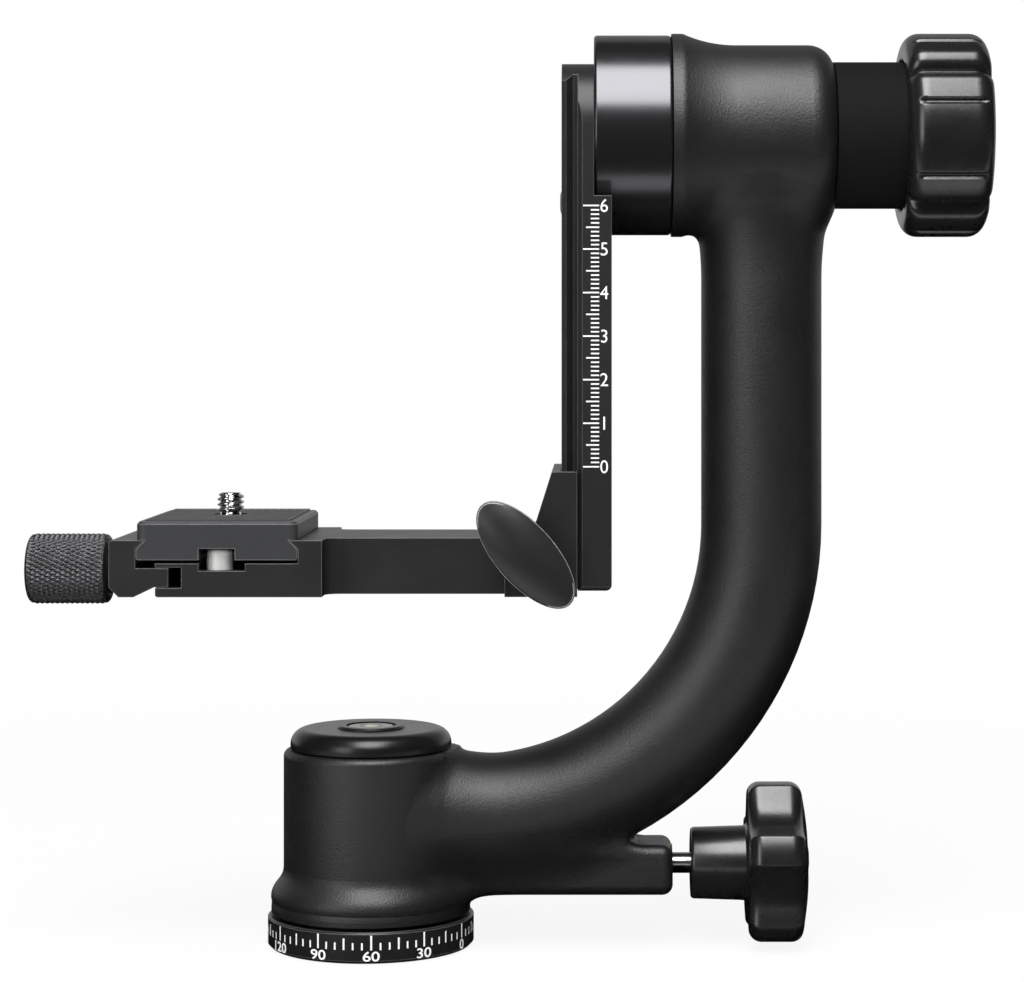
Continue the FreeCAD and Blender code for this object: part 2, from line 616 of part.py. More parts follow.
def curved_tube(body):
    """Round tube from the pan axis to the tilt axis, swollen where it leaves the housing and meets the hub."""
    root = outline(body, "root_profile", "XY_Plane", [
        ("root_start", "0"),
        ("root_end", "0"),
        ("root_end", "arm_radius - edge"),
        ("root_start", "root_radius"),
    ], "arm_level")
    spin_about(body, "Revolution", "root", root, "Edge1")
    above = outline(body, "root_trim", "XY_Plane", [
        ("root_start", "-root_radius"),
        ("root_end", "-root_radius"),
        ("root_end", "root_radius"),
        ("root_start", "root_radius"),
    ], "arm_level + root_radius")
    extrude(body, "Pocket", "root_trim_cut", above, "arm_level + root_radius - housing_top")
    neck = outline(body, "neck_profile", "YZ_Plane", [
        ("0", "tilt_height - neck_low"),
        ("arm_radius - edge", "tilt_height - neck_low"),
        ("neck_radius", "tilt_height - neck_high"),
        ("0", "tilt_height - neck_high"),
    ], "arm_reach")
    spin_about(body, "Revolution", "neck", neck, "Edge4")
    beyond = outline(body, "neck_trim", "YZ_Plane", [
        ("-neck_radius", "tilt_height - neck_low"),
        ("neck_radius", "tilt_height - neck_low"),
        ("neck_radius", "tilt_height - neck_high"),
        ("-neck_radius", "tilt_height - neck_high"),
    ], "arm_reach + neck_radius")
    extrude(body, "Pocket", "neck_trim_cut", beyond, "arm_reach + neck_radius - hub_right + edge")

    section = circles(body, "arm_section", "YZ_Plane", [("0", "arm_level", "arm_radius")])
    path = new_sketch(body, "arm_path", "XZ_Plane")
    level, reach, bend, top = size("arm_level"), size("arm_reach"), size("arm_bend"), size("tilt_height")
    corner = Vector(reach - bend, level + bend, 0)
    path.addGeometry([
        Part.LineSegment(Vector(0, level, 0), Vector(corner.x, level, 0)),
        Part.ArcOfCircle(Part.Circle(corner, Vector(0, 0, 1), bend), 1.5 * math.pi, 2 * math.pi),
        Part.LineSegment(Vector(reach, corner.y, 0), Vector(reach, top, 0)),
    ])
    path.addConstraint([
        Sketcher.Constraint("Tangent", 0, 2, 1, 1),
        Sketcher.Constraint("Tangent", 1, 2, 2, 1),
        Sketcher.Constraint("Horizontal", 0),
        Sketcher.Constraint("Vertical", 2),
        Sketcher.Constraint("DistanceX", -1, 1, 0, 1, 0),
    ])
    for kind, place, text in (("DistanceY", (-1, 1, 0, 1), "arm_level"), ("DistanceX", (-1, 1, 2, 1), "arm_reach"),
                              ("DistanceY", (-1, 1, 2, 2), "tilt_height"), ("Radius", (1,), "arm_bend")):
        index = path.addConstraint(Sketcher.Constraint(kind, *place, size(text)))
        path.setExpression(f"Constraints[{index}]", sheet(text))
    tube = body.newObject("PartDesign::AdditivePipe", "tube")
    tube.Profile = section
    tube.Spine = (path, ["Edge1", "Edge2", "Edge3"])
    doc.recompute()


def base_housing(body):
    """Round housing with its flared foot, and the boss for the pan lock."""
    housing = outline(body, "housing_profile", "XZ_Plane", [
        ("0", CASTING_BOTTOM),
        ("flare_radius", CASTING_BOTTOM),
        ("flare_radius", "flare_low"),
        ("housing_radius", "flare_high"),
        ("housing_radius", "housing_top"),
        ("0", "housing_top"),
    ])
    spin(body, "Revolution", "housing", housing, "V_Axis")
    ease(body, "Fillet", "flare_bends", "flare_round", lambda edge:
         round_edge(edge, "z", size("housing_radius"), size("flare_high"))
         or round_edge(edge, "z", size("flare_radius"), size("flare_low")))
    ease(body, "Fillet", "rim_edge", "rim_round", lambda edge:
         round_edge(edge, "z", size("housing_radius"), size("housing_top")))
    boss = outline(body, "boss_section", "YZ_Plane", [
        ("-boss_width / 2", "lock_height - boss_drop - boss_height / 2"),
        ("boss_width / 2", "lock_height - boss_drop - boss_height / 2"),
        ("boss_width / 2", "lock_height - boss_drop + boss_height / 2"),
        ("-boss_width / 2", "lock_height - boss_drop + boss_height / 2"),
    ])
    extrude(body, "Pad", "boss", boss, "boss_end")
    ease(body, "Fillet", "boss_edges", "boss_round", lambda edge:
         isinstance(curve(edge), Part.Line) and near(max(p.x for p in ends(edge)), size("boss_end")))


def tilt_hub(body):
    """Barrel with a rim beside the drum and a rounded far end."""
    hub = outline(body, "hub_profile", "XZ_Plane", [
        ("hub_left", "tilt_height"),
        ("hub_left", "tilt_height + hub_rim_radius"),
        ("hub_left + hub_rim_width", "tilt_height + hub_rim_radius"),
        ("hub_left + hub_rim_width + hub_neck", "tilt_height + hub_radius"),
        ("hub_right", "tilt_height + hub_radius"),
        ("hub_right", "tilt_height"),
    ])
    spin_about(body, "Revolution", "hub", hub, "Edge6")
    neck = size("hub_left") + size("hub_rim_width")
    ease(body, "Fillet", "hub_neck_bends", "hub_neck_round", lambda edge:
         round_edge(edge, "x", size("hub_radius"), neck + size("hub_neck"))
         or round_edge(edge, "x", size("hub_rim_radius"), neck))
    ease(body, "Fillet", "hub_far_edge", "hub_round", lambda edge:
         round_edge(edge, "x", size("hub_radius"), size("hub_right")))


def casting_bores(body):
    """Bores for the spindle, the cap, the lock and the axle, and the tapped holes of the collar."""
    bore = outline(body, "spindle_bore", "XZ_Plane", [
        ("0", CASTING_BOTTOM + " - 1"),
        ("flange_radius + flange_play", CASTING_BOTTOM + " - 1"),
        ("flange_radius + flange_play", FOOT_TOP),
        (BUSH_OUTER, FOOT_TOP),
        (BUSH_OUTER, WELL_FLOOR),
        ("well_radius", WELL_FLOOR),
        ("well_radius", "housing_top + 1"),
        ("0", "housing_top + 1"),
    ])
    spin(body, "Groove", "spindle_bore_cut", bore, "V_Axis")
    lock = circles(body, "lock_bore_section", "YZ_Plane", [("0", "lock_height", "lock_bore")], "boss_end")
    extrude(body, "Pocket", "lock_bore_cut", lock, "boss_end")
    mouth = circles(body, "insert_section", "YZ_Plane", [("0", "lock_height", "insert_radius")], "boss_end")
    extrude(body, "Pocket", "insert_cut", mouth, "insert_length")
    axle = circles(body, "hub_bore_section", "YZ_Plane", [("0", "tilt_height", "hub_bore")], "hub_right")
    extrude(body, "Pocket", "hub_bore_cut", axle, "hub_right - hub_left")
    places = [(f"collar_screw_circle * cos({angle})", f"tilt_height + collar_screw_circle * sin({angle})",
               "collar_screw_shank") for angle in THREE_ROUND]
    tapped = circles(body, "collar_holes", "YZ_Plane", places, "hub_right")
    extrude(body, "Pocket", "collar_holes_cut", tapped, "collar_screw_grip + edge")


def pan_fittings():
    """Bronze bushes on the spindle, the glossy cap and the round level in it."""
    for label, low in (("pan_bush_lower", FOOT_TOP), ("pan_bush_upper", WELL_FLOOR + " - bush_length")):
        turned(label, ring("spindle_radius + running_gap", BUSH_OUTER, low, low + " + bush_length"), upright=True)
    top = "(housing_top + cap_height)"
    floor = "(housing_top + cap_height + edge + edge / 2 - bezel_height)"
    room = floor + " - cap_floor"
    cap = turned("base_cap", [
        ("cap_cavity", "housing_top - cap_spigot"),
        ("well_radius", "housing_top - cap_spigot"),
        ("well_radius", "housing_top"),
        ("cap_radius - cap_undercut", "housing_top"),
        ("cap_radius", "housing_top + cap_undercut"),
        ("cap_radius", top),
        ("bezel_radius", top),
        ("bezel_radius", floor),
        ("0", floor),
        ("0", room),
        ("cap_cavity", room),
    ], upright=True)
    ease(cap, "Fillet", "cap_edge", "cap_round", lambda edge:
         round_edge(edge, "z", size("cap_radius"), size("housing_top") + size("cap_height")))
    turned("level_bezel", [
        ("vial_radius", floor),
        ("bezel_radius", floor),
        ("bezel_radius", floor + " + bezel_height - edge"),
        ("bezel_radius - edge", floor + " + bezel_height"),
        ("vial_radius", floor + " + bezel_height"),
    ], upright=True)
    vial = turned("level_vial", [
        ("0", floor),
        ("vial_radius", floor),
        ("vial_radius", floor + " + bezel_height - edge / 2"),
        ("0", floor + " + bezel_height - edge / 2"),
    ], upright=True)
    ease(vial, "Fillet", "vial_edge", "2 * edge", lambda edge: near(edge.BoundBox.ZMin, vial.Shape.BoundBox.ZMax))


def pan_lock():
    """Insert, brake pad, shaft and the five lobed knob that lock the pan axis."""
    turned("pan_lock_insert", sleeve("boss_end - insert_length", "boss_end", "lock_shaft + running_gap",
                                     "insert_radius"), "lock_height")
    pad = "(spindle_radius + brake_gap)"
    turned("pan_brake_pad", sleeve(pad, pad + " + brake_length", "0", "lock_bore - running_gap"), "lock_height")
    hub_end = "(lock_knob_start + lock_knob_hub_length)"
    rim_end = "(lock_knob_start + lock_knob_hub_length + lock_knob_width)"
    turned("pan_lock_shaft", sleeve(pad + " + brake_length", rim_end + " - 2 * lock_knob_round", "0", "lock_shaft"),
           "lock_height")
    body = turned("pan_lock_knob", [
        ("lock_knob_start", "lock_shaft"),
        ("lock_knob_start", "lock_knob_hub - 3 * edge"),
        ("lock_knob_start + 2 * edge", "lock_knob_hub - edge"),
        (hub_end, "lock_knob_hub"),
        (hub_end, "lock_knob_radius"),
        (rim_end, "lock_knob_radius"),
        (rim_end + " + lock_knob_crown", "lock_knob_radius / 2"),
        (rim_end + " + lock_knob_crown", "0"),
        (rim_end + " - 2 * lock_knob_round", "0"),
        (rim_end + " - 2 * lock_knob_round", "lock_shaft"),
    ], "lock_height")
    rim = size("lock_knob_start") + size("lock_knob_hub_length")
    ease(body, "Fillet", "lock_knob_rim", "lock_knob_round", lambda edge:
         round_edge(edge, "x", size("lock_knob_radius"), rim)
         or round_edge(edge, "x", size("lock_knob_radius"), rim + size("lock_knob_width")))
    valley = circles(body, "lock_valley", "YZ_Plane", [(
        "lock_valley_circle * cos(lock_knob_turn)", "lock_valley_circle * sin(lock_knob_turn)",
        "lock_valley_radius")], rim_end + " + lock_knob_crown")
    cut = extrude(body, "Pocket", "lock_valley_cut", valley, "lock_knob_width + lock_knob_crown")
    repeat(body, "lock_valleys", [cut], "X_Axis", 5)


# Tilt axis

def tilt_axle():
    """Flanged steel axle in two bronze bushes, with its washer and nut."""
    body = turned("tilt_axle", [
        (DRUM_RIGHT + " - axle_flange_width", "0"),
        (DRUM_RIGHT + " - axle_flange_width", "axle_flange_radius"),
        (DRUM_RIGHT, "axle_flange_radius"),
        (DRUM_RIGHT, "axle_radius"),
        ("hub_right + face_gap", "axle_radius"),
        ("hub_right + face_gap", "axle_thread_radius"),
        ("axle_end", "axle_thread_radius"),
        ("axle_end", "0"),
    ], "tilt_height")
    hole = circles(body, "flange_hole", "YZ_Plane", [("drum_screw_circle", "0", "drum_screw_shank")],
                   DRUM_RIGHT + " - edge")
    tapped = extrude(body, "Pocket", "flange_hole_cut", hole, "axle_flange_width")
    repeat(body, "flange_holes", [tapped], "X_Axis", 3)
    for label, left in (("tilt_bush_left", "hub_left + edge"), ("tilt_bush_right", "hub_right - tilt_bush_length")):
        turned(label, sleeve(left, left + " + tilt_bush_length", "axle_radius + running_gap", "hub_bore"),
               "tilt_height")
    shoulder = "(hub_right + face_gap)"
    turned("axle_washer", sleeve(shoulder, shoulder + " + axle_washer_thickness", "axle_thread_radius",
                                 "axle_washer_radius"), "tilt_height")
    nut = hexagon(size("axle_nut_width"), size("axle_nut_height"), 0)
    nut = nut.cut(Part.makeCylinder(size("axle_thread_radius"), size("axle_nut_height")))
    seat = size("hub_right") + size("face_gap") + size("axle_washer_thickness")
    group("axle_nut", [placed(nut, Vector(seat, 0, size("tilt_height")), Vector(1, 0, 0))])


def tilt_drum():
    """Glossy drum that joins the axle to the rail, with a slippery washer in its far face."""
    washer_left = "(" + DRUM_RIGHT + " + drum_gap - face_gap - friction_thickness)"
    flange = "(" + DRUM_RIGHT + " - axle_flange_width)"
    seat = "(" + DRUM_LEFT + " + drum_screw_head_height + head_play)"
    body = turned("tilt_drum", [
        (DRUM_LEFT, "0"),
        (DRUM_LEFT, "drum_radius"),
        (DRUM_RIGHT, "drum_radius"),
        (DRUM_RIGHT, "friction_outer + head_play"),
        (washer_left, "friction_outer + head_play"),
        (washer_left, "friction_inner - head_play"),
        (DRUM_RIGHT, "friction_inner - head_play"),
        (DRUM_RIGHT, "axle_flange_radius"),
        (flange, "axle_flange_radius"),
        (flange, "0"),
    ], "tilt_height")
    left = size("rail_left") + size("rail_web")
    right = size("hub_left") - size("drum_gap")
    ease(body, "Fillet", "drum_edges", "2 * edge", lambda edge:
         round_edge(edge, "x", size("drum_radius"), left) or round_edge(edge, "x", size("drum_radius"), right))
    head = circles(body, "drum_head", "YZ_Plane", [("drum_screw_circle", "0", "drum_screw_head + head_play")], seat)
    sunk = extrude(body, "Pocket", "drum_head_cut", head, "drum_screw_head_height + head_play")
    hole = circles(body, "drum_hole", "YZ_Plane", [("drum_screw_circle", "0", "drum_screw_shank + head_play")],
                   flange)
    drilled = extrude(body, "Pocket", "drum_hole_cut", hole, flange + " - " + DRUM_LEFT)
    repeat(body, "drum_holes", [sunk, drilled], "X_Axis", 3)
    places = [(f"{side} rail_screw_across", f"{up} rail_screw_up", "drum_screw_shank")
              for side in ("", "-") for up in ("", "-")]
    screw_end = RAIL_SEAT + " + rail_screw_length + edge"
    tapped = circles(body, "rail_tapping", "YZ_Plane", places, screw_end)
    extrude(body, "Pocket", "rail_tapping_cut", tapped, screw_end + " - " + DRUM_LEFT)
    turned("friction_washer", sleeve(washer_left, washer_left + " + friction_thickness", "friction_inner",
                                     "friction_outer"), "tilt_height")
    head_seat = left + size("drum_screw_head_height") + size("head_play")
    screw = cap_screw(size("drum_screw_shank"), right - size("edge") - head_seat,
                      size("drum_screw_head"), size("drum_screw_head_height"))
    group("drum_screws", [placed(screw, Vector(head_seat, y, size("tilt_height") + z), Vector(-1, 0, 0))
                          for y, z in round_places(3, size("drum_screw_circle"), 0)])


def tilt_lock():
    """Collar on the hub, brake pad, stud and the large four lobed knob."""
    wall = "(" + COLLAR_END + " - collar_end_wall)"
    body = turned("tilt_collar", [
        ("hub_right", "collar_inner"),
        ("hub_right", "collar_radius"),
        (COLLAR_END, "collar_radius"),
        (COLLAR_END, "tilt_screw_radius + running_gap"),
        (wall, "tilt_screw_radius + running_gap"),
        (wall, "collar_inner"),
    ], "tilt_height")
    sink = circles(body, "collar_sink", "YZ_Plane", [("0", "collar_screw_circle", "collar_screw_head + edge / 4")],
                   COLLAR_END)
    sunk = extrude(body, "Pocket", "collar_sink_cut", sink, "collar_screw_head_height + head_play")
    hole = circles(body, "collar_hole", "YZ_Plane", [("0", "collar_screw_circle", "collar_screw_shank + edge / 4")],
                   COLLAR_END)
    drilled = extrude(body, "Pocket", "collar_hole_cut", hole, "collar_length")
    repeat(body, "collar_drilling", [sunk, drilled], "X_Axis", 3)
    length = size("collar_length") - size("collar_screw_head_height") - size("head_play")
    screw = cap_screw(size("collar_screw_shank"), length + size("collar_screw_grip"),
                      size("collar_screw_head"), size("collar_screw_head_height"))
    seat = size("hub_right") + length
    group("collar_screws", [placed(screw, Vector(seat, y, size("tilt_height") + z), Vector(1, 0, 0))
                            for y, z in round_places(3, size("collar_screw_circle"))])

    turned("tilt_brake_pad", sleeve(PAD_START, PAD_END, "0", "tilt_pad_radius"), "tilt_height")
    end = "(tilt_knob_start + tilt_knob_width)"
    turned("tilt_lock_screw", sleeve(PAD_END, end + " - tilt_knob_wall", "0", "tilt_screw_radius"), "tilt_height")
    knob = turned("tilt_knob", [
        ("tilt_knob_start", "tilt_knob_recess"),
        ("tilt_knob_start", "tilt_knob_radius"),
        (end, "tilt_knob_radius"),
        (end, "0"),
        (end + " - tilt_knob_wall", "0"),
        (end + " - tilt_knob_wall", "tilt_screw_radius"),
        ("tilt_knob_start + tilt_knob_recess_depth", "tilt_screw_radius"),
        ("tilt_knob_start + tilt_knob_recess_depth", "tilt_knob_recess"),
    ], "tilt_height")
    ease(knob, "Fillet", "tilt_knob_edges", "tilt_knob_round", lambda edge:
         isinstance(curve(edge), Part.Circle) and near(curve(edge).Radius, size("tilt_knob_radius")))
    flat = circles(knob, "knob_flat", "YZ_Plane", [
        ("tilt_knob_radius - tilt_knob_flat - tilt_knob_flat_radius", "0", radius)
        for radius in ("tilt_knob_flat_radius", "tilt_knob_flat_radius + 2 * tilt_knob_flat")], end)
    crease = circles(knob, "crease", "YZ_Plane", [(
        "(tilt_knob_radius - crease_depth + crease_radius) * cos(45)",
        "(tilt_knob_radius - crease_depth + crease_radius) * sin(45)", "crease_radius")], end)
    fine = "(tilt_knob_radius - groove_depth + groove_radius)"
    grooves = circles(knob, "grooves", "YZ_Plane", [
        (fine + " * cos(groove_angle)", side + fine + " * sin(groove_angle)", "groove_radius")
        for side in ("", "-")], end)
    cuts = [extrude(knob, "Pocket", "knob_flat_cut", flat, "tilt_knob_width"),
            extrude(knob, "Pocket", "crease_cut", crease, "tilt_knob_width"),
            extrude(knob, "Pocket", "grooves_cut", grooves, "tilt_knob_width")]
    repeat(knob, "tilt_knob_lobes", cuts, "X_Axis", 4)


# Swinging rail

def swing_rail():
    """Upright dovetail rail: a web with a lip and flank on each side, and two flanges below the drum."""
    half = [
        ("rail_left", "rail_lip"),
        ("rail_left + rail_lip_thickness", "rail_lip"),
        ("rail_left + rail_lip_thickness + rail_flank", "rail_lip - rail_flank"),
        ("rail_left + rail_shoulder", "rail_lip - rail_flank"),
        ("rail_left + rail_shoulder", "rail_half - 1"),
        ("rail_left + rail_shoulder + 1", "rail_half"),
        ("rail_left + rail_thickness", "rail_half"),
        ("rail_left + rail_thickness", "rail_channel"),
        ("rail_left + rail_web", "rail_channel"),
    ]
    mirrored = [(x, "-(" + y + ")") for x, y in reversed(half)]
    section = new_body("swing_rail_section")
    sketch = outline(section, "rail_section", "XY_Plane", half + mirrored, "rail_bottom")
    extrude(section, "Pad", "rail_length", sketch, RAIL_TOP + " - rail_bottom")
    above = outline(section, "flange_end", "XZ_Plane", [
        ("rail_left + rail_web", FLANGE_TOP),
        ("rail_left + rail_thickness + 1", FLANGE_TOP),
        ("rail_left + rail_thickness + 1", RAIL_TOP + " + 1"),
        ("rail_left + rail_web", RAIL_TOP + " + 1"),
    ])
    extrude(section, "Pocket", "flange_end_cut", above, "2 * rail_half + 2", symmetric=True)
    places = [(f"{side} rail_screw_across", f"tilt_height {up} rail_screw_up") for side in ("", "-") for up in "+-"]
    heads = circles(section, "rail_heads", "YZ_Plane", [(y, z, "drum_screw_head + head_play") for y, z in places],
                    RAIL_SEAT)
    extrude(section, "Pocket", "rail_heads_cut", heads, "drum_screw_head_height + head_play")
    shanks = circles(section, "rail_holes", "YZ_Plane", [(y, z, "drum_screw_shank + head_play / 2")
                                                         for y, z in places], "rail_left + rail_web")
    extrude(section, "Pocket", "rail_holes_cut", shanks, "rail_web")
    stops = circles(section, "stop_holes", "YZ_Plane", [("0", z, "stop_screw_shank") for z in STOP_HEIGHTS],
                    "rail_left + stop_screw_length")
    extrude(section, "Pocket", "stop_holes_cut", stops, "stop_screw_length")
    PIECES.pop("swing_rail_section")

    envelope = new_body("swing_rail_envelope")
    sides = outline(envelope, "rail_sides", "XZ_Plane", [
        ("rail_left - 1", "rail_bottom"),
        ("rail_left + rail_thickness", "rail_bottom"),
        ("rail_left + rail_thickness", RAIL_TOP),
        ("rail_left - 1", RAIL_TOP),
    ])
    extrude(envelope, "Pad", "rail_block", sides, "2 * rail_half", symmetric=True)
    ease(envelope, "Fillet", "rail_top_corners", "rail_top_round", lambda edge:
         along(edge, "x", z=size("tilt_height") + size("rail_top")))
    ease(envelope, "Fillet", "rail_foot_corners", "rail_foot_round", lambda edge:
         along(edge, "y", x=size("rail_left") + size("rail_thickness"), z=size("rail_bottom"))
         or along(edge, "x", z=size("rail_bottom")))
    PIECES.pop("swing_rail_envelope")

    rail = doc.addObject("Part::Common", "swing_rail")
    rail.Base = section
    rail.Tool = envelope
    rail.Label = "swing_rail"
    PIECES["swing_rail"] = rail
    doc.recompute()


STOP_HEIGHTS = ["stop_low", "upright_top + travel + stop_play + stop_screw_head"]


def rail_fasteners():
    """Four screws into the drum and the two screws that stop the platform."""
    seat = size("rail_left") + size("drum_screw_head_height") + size("head_play")
    screw = cap_screw(size("drum_screw_shank"), size("rail_screw_length"),
                      size("drum_screw_head"), size("drum_screw_head_height"))
    corners = [(y * size("rail_screw_across"), z * size("rail_screw_up")) for y in (1, -1) for z in (1, -1)]
    group("rail_screws", [placed(screw, Vector(seat, y, size("tilt_height") + z), Vector(-1, 0, 0))
                          for y, z in corners])
    stop = cap_screw(size("stop_screw_shank"), size("stop_screw_length"),
                     size("stop_screw_head"), size("stop_screw_head_height"))
    high = size("upright_top") + size("travel") + size("stop_play") + size("stop_screw_head")
    group("rail_stop_screws", [placed(stop, Vector(size("rail_left"), 0, z), Vector(-1, 0, 0))
                               for z in (size("stop_low"), high)])


# Platform

def dovetail_channel(body, name, side):
    """Cuts the rail's dovetail, with its play, out of one side of the platform's jaws."""
    inner = "rail_left - slide_gap"
    lip = "(rail_lip + slide_gap)"
    reach = f"(rail_left + rail_lip_thickness + rail_lip + slide_gap * {SLANT})"
    neck = "(rail_lip - rail_flank + slide_gap)"
    points = [
        (inner, "0"),
        (inner, side + lip),
        (reach + " - " + lip, side + lip),
        (reach + " - " + neck, side + neck),
        ("rail_left + rail_shoulder + 1", side + neck),
        ("rail_left + rail_shoulder + 1", "0"),
    ]
    channel = outline(body, name, "XY_Plane", points, "upright_top + 1")
    extrude(body, "Pocket", name + "_cut", channel, "upright_top + 2 - bar_bottom")


def platform_bar():
    """Bar, upright with the near dovetail jaw, and the quick release clamp with its fixed jaw, in one piece."""
    body = new_body("platform_bar")
    wall = "(" + PLATE_RIGHT + " + slide_gap)"
    flank = "(" + PLATE_RIGHT + f" + bar_bottom + bar_height + plate_lift - plate_flank + slide_gap * {SLANT})"
    roof = CLAMP_FLOOR + " - slot_roof"
    clamp = outline(body, "clamp_profile", "XZ_Plane", [
        ("clamp_left + edge", "bar_bottom"),
        ("clamp_right", "bar_bottom"),
        ("clamp_right", JAW_TOP),
        (flank + " - " + JAW_TOP, JAW_TOP),
        (wall, flank + " - " + wall),
        (wall, CLAMP_FLOOR),
        ("clamp_left", CLAMP_FLOOR),
        ("clamp_left", roof),
        ("clamp_left + slot_depth", roof),
        ("clamp_left + slot_depth", "bar_bottom + slot_floor"),
        ("clamp_left", "bar_bottom + slot_floor"),
        ("clamp_left", "bar_bottom + edge"),
    ])
    extrude(body, "Pad", "clamp_block", clamp, "2 * clamp_half", symmetric=True)
    bar = outline(body, "bar_profile", "XZ_Plane", [
        ("clamp_right - bar_round", "bar_bottom"),
        ("upright_foot + 1", "bar_bottom"),
        ("upright_foot + 1", JAW_TOP),
        ("clamp_right - bar_round", JAW_TOP),
    ])
    extrude(body, "Pad", "bar", bar, "2 * bar_half", symmetric=True)
    ease(body, "Fillet", "bar_ends", "bar_round", lambda edge:
         along(edge, "z", x=size("clamp_right")) and near(abs(edge.Vertexes[0].Point.y), size("bar_half")))
    side = [
        ("upright_foot", "bar_bottom"),
        ("rail_left + rail_shoulder - nose_end", "bar_bottom"),
        ("rail_left + rail_shoulder - nose_end", "upright_top"),
        ("upright_neck", "upright_top"),
        ("upright_foot", JAW_TOP),
    ]
    upright = outline(body, "upright_profile", "XZ_Plane", side)
    extrude(body, "Pad", "upright", upright, "2 * bar_half", symmetric=True)
    ease(body, "Fillet", "upright_foot_fillet", "upright_round", lambda edge:
         along(edge, "y", x=size("upright_foot"), z=size("bar_bottom") + size("bar_height")))
    far_jaw = outline(body, "far_jaw_profile", "XZ_Plane", side, "-upright_half")
    extrude(body, "Pad", "far_jaw", far_jaw, "upright_half - bar_half")
    dovetail_channel(body, "fixed_channel", "")
    near_face = outline(body, "near_face", "XY_Plane", [
        ("rail_left - slide_gap", "1"),
        ("rail_left - slide_gap", "-bar_half - 1"),
        ("rail_left + rail_shoulder + 1", "-bar_half - 1"),
        ("rail_left + rail_shoulder + 1", "1"),
    ], "upright_top + 1")
    extrude(body, "Pocket", "near_face_cut", near_face, "upright_top + 2 - bar_bottom")

    slot = outline(body, "stop_slot", "YZ_Plane", [
        ("-stop_screw_head - stop_play", "bar_bottom - 1"),
        ("stop_screw_head + stop_play", "bar_bottom - 1"),
        ("stop_screw_head + stop_play", "stop_low + stop_screw_head + stop_play"),
        ("-stop_screw_head - stop_play", "stop_low + stop_screw_head + stop_play"),
    ], "rail_left")
    extrude(body, "Pocket", "stop_slot_cut", slot, "stop_screw_head_height + stop_play")
    stud = circles(body, "paddle_bore", "XZ_Plane", [("paddle_across", "paddle_height",
                                                      "paddle_screw + running_gap")], "bar_half")
    extrude(body, "Pocket", "paddle_bore_cut", stud, "paddle_grip + 1")
    guides = circles(body, "guide_bores", "XZ_Plane", [(x, "guide_height", "guide_radius")
                                                       for x in ("guide_left", "guide_right")], "bar_half")
    extrude(body, "Pocket", "guide_bores_cut", guides, "bar_half - guide_start")
    screw = circles(body, "clamp_screw_bore", "YZ_Plane", [("0", "clamp_axis", "clamp_screw + running_gap")],
                    "clamp_screw_end + 1")
    extrude(body, "Pocket", "clamp_screw_bore_cut", screw, "clamp_screw_end + 1 - clamp_left")
    relief = outline(body, "pin_relief", "XY_Plane", [
        ("plate_middle - pin_relief_left", "-clamp_half - 1"),
        ("plate_middle + pin_relief_right", "-clamp_half - 1"),
        ("plate_middle + pin_relief_right", "-pin_place + pin_relief_back"),
        ("plate_middle - pin_relief_left", "-pin_place + pin_relief_back"),
    ], CLAMP_FLOOR)
    extrude(body, "Pocket", "pin_relief_cut", relief, "pin_relief_depth")
    guide = circles(body, "pin_guide", "XY_Plane", [("plate_middle", "-pin_place", "pin_radius + running_gap")],
                    CLAMP_FLOOR)
    extrude(body, "Pocket", "pin_guide_cut", guide, CLAMP_FLOOR + " - bar_bottom")
    ledge = "(" + CLAMP_FLOOR + " + pin_proud - pin_length + pin_foot_height + face_gap)"
    well = circles(body, "pin_well", "XY_Plane", [("plate_middle", "-pin_place", "pin_foot_radius + running_gap")],
                   ledge)
    extrude(body, "Pocket", "pin_well_cut", well, ledge + " - bar_bottom")


def rail_jaw():
    """Far half of the dovetail, pulled in by the paddle's stud and guided by two dowels."""
    body = new_body("rail_jaw")
    side = outline(body, "rail_jaw_profile", "XZ_Plane", [
        ("jaw_back", "bar_bottom"),
        ("rail_left + rail_shoulder - nose_end", "bar_bottom"),
        ("rail_left + rail_shoulder - nose_end", "upright_top"),
        ("upright_neck", "upright_top"),
        ("upright_foot", JAW_TOP),
        ("jaw_back", JAW_TOP),
    ], "bar_half + jaw_split")
    extrude(body, "Pad", "rail_jaw_block", side, "upright_half - bar_half - jaw_split")
    dovetail_channel(body, "jaw_channel", "-")
    bores = circles(body, "jaw_bores", "XZ_Plane", [
        ("paddle_across", "paddle_height", "paddle_screw + running_gap"),
        ("guide_left", "guide_height", "guide_radius + running_gap"),
        ("guide_right", "guide_height", "guide_radius + running_gap"),
    ], "upright_half")
    extrude(body, "Pocket", "jaw_bores_cut", bores, "upright_half - bar_half - jaw_split")
    pin = Part.makeCylinder(size("guide_radius"), size("guide_end") - size("guide_start"))
    group("guide_pins", [placed(pin, Vector(size(x), -size("guide_start"), size("guide_height")), Vector(0, -1, 0))
                         for x in ("guide_left", "guide_right")])


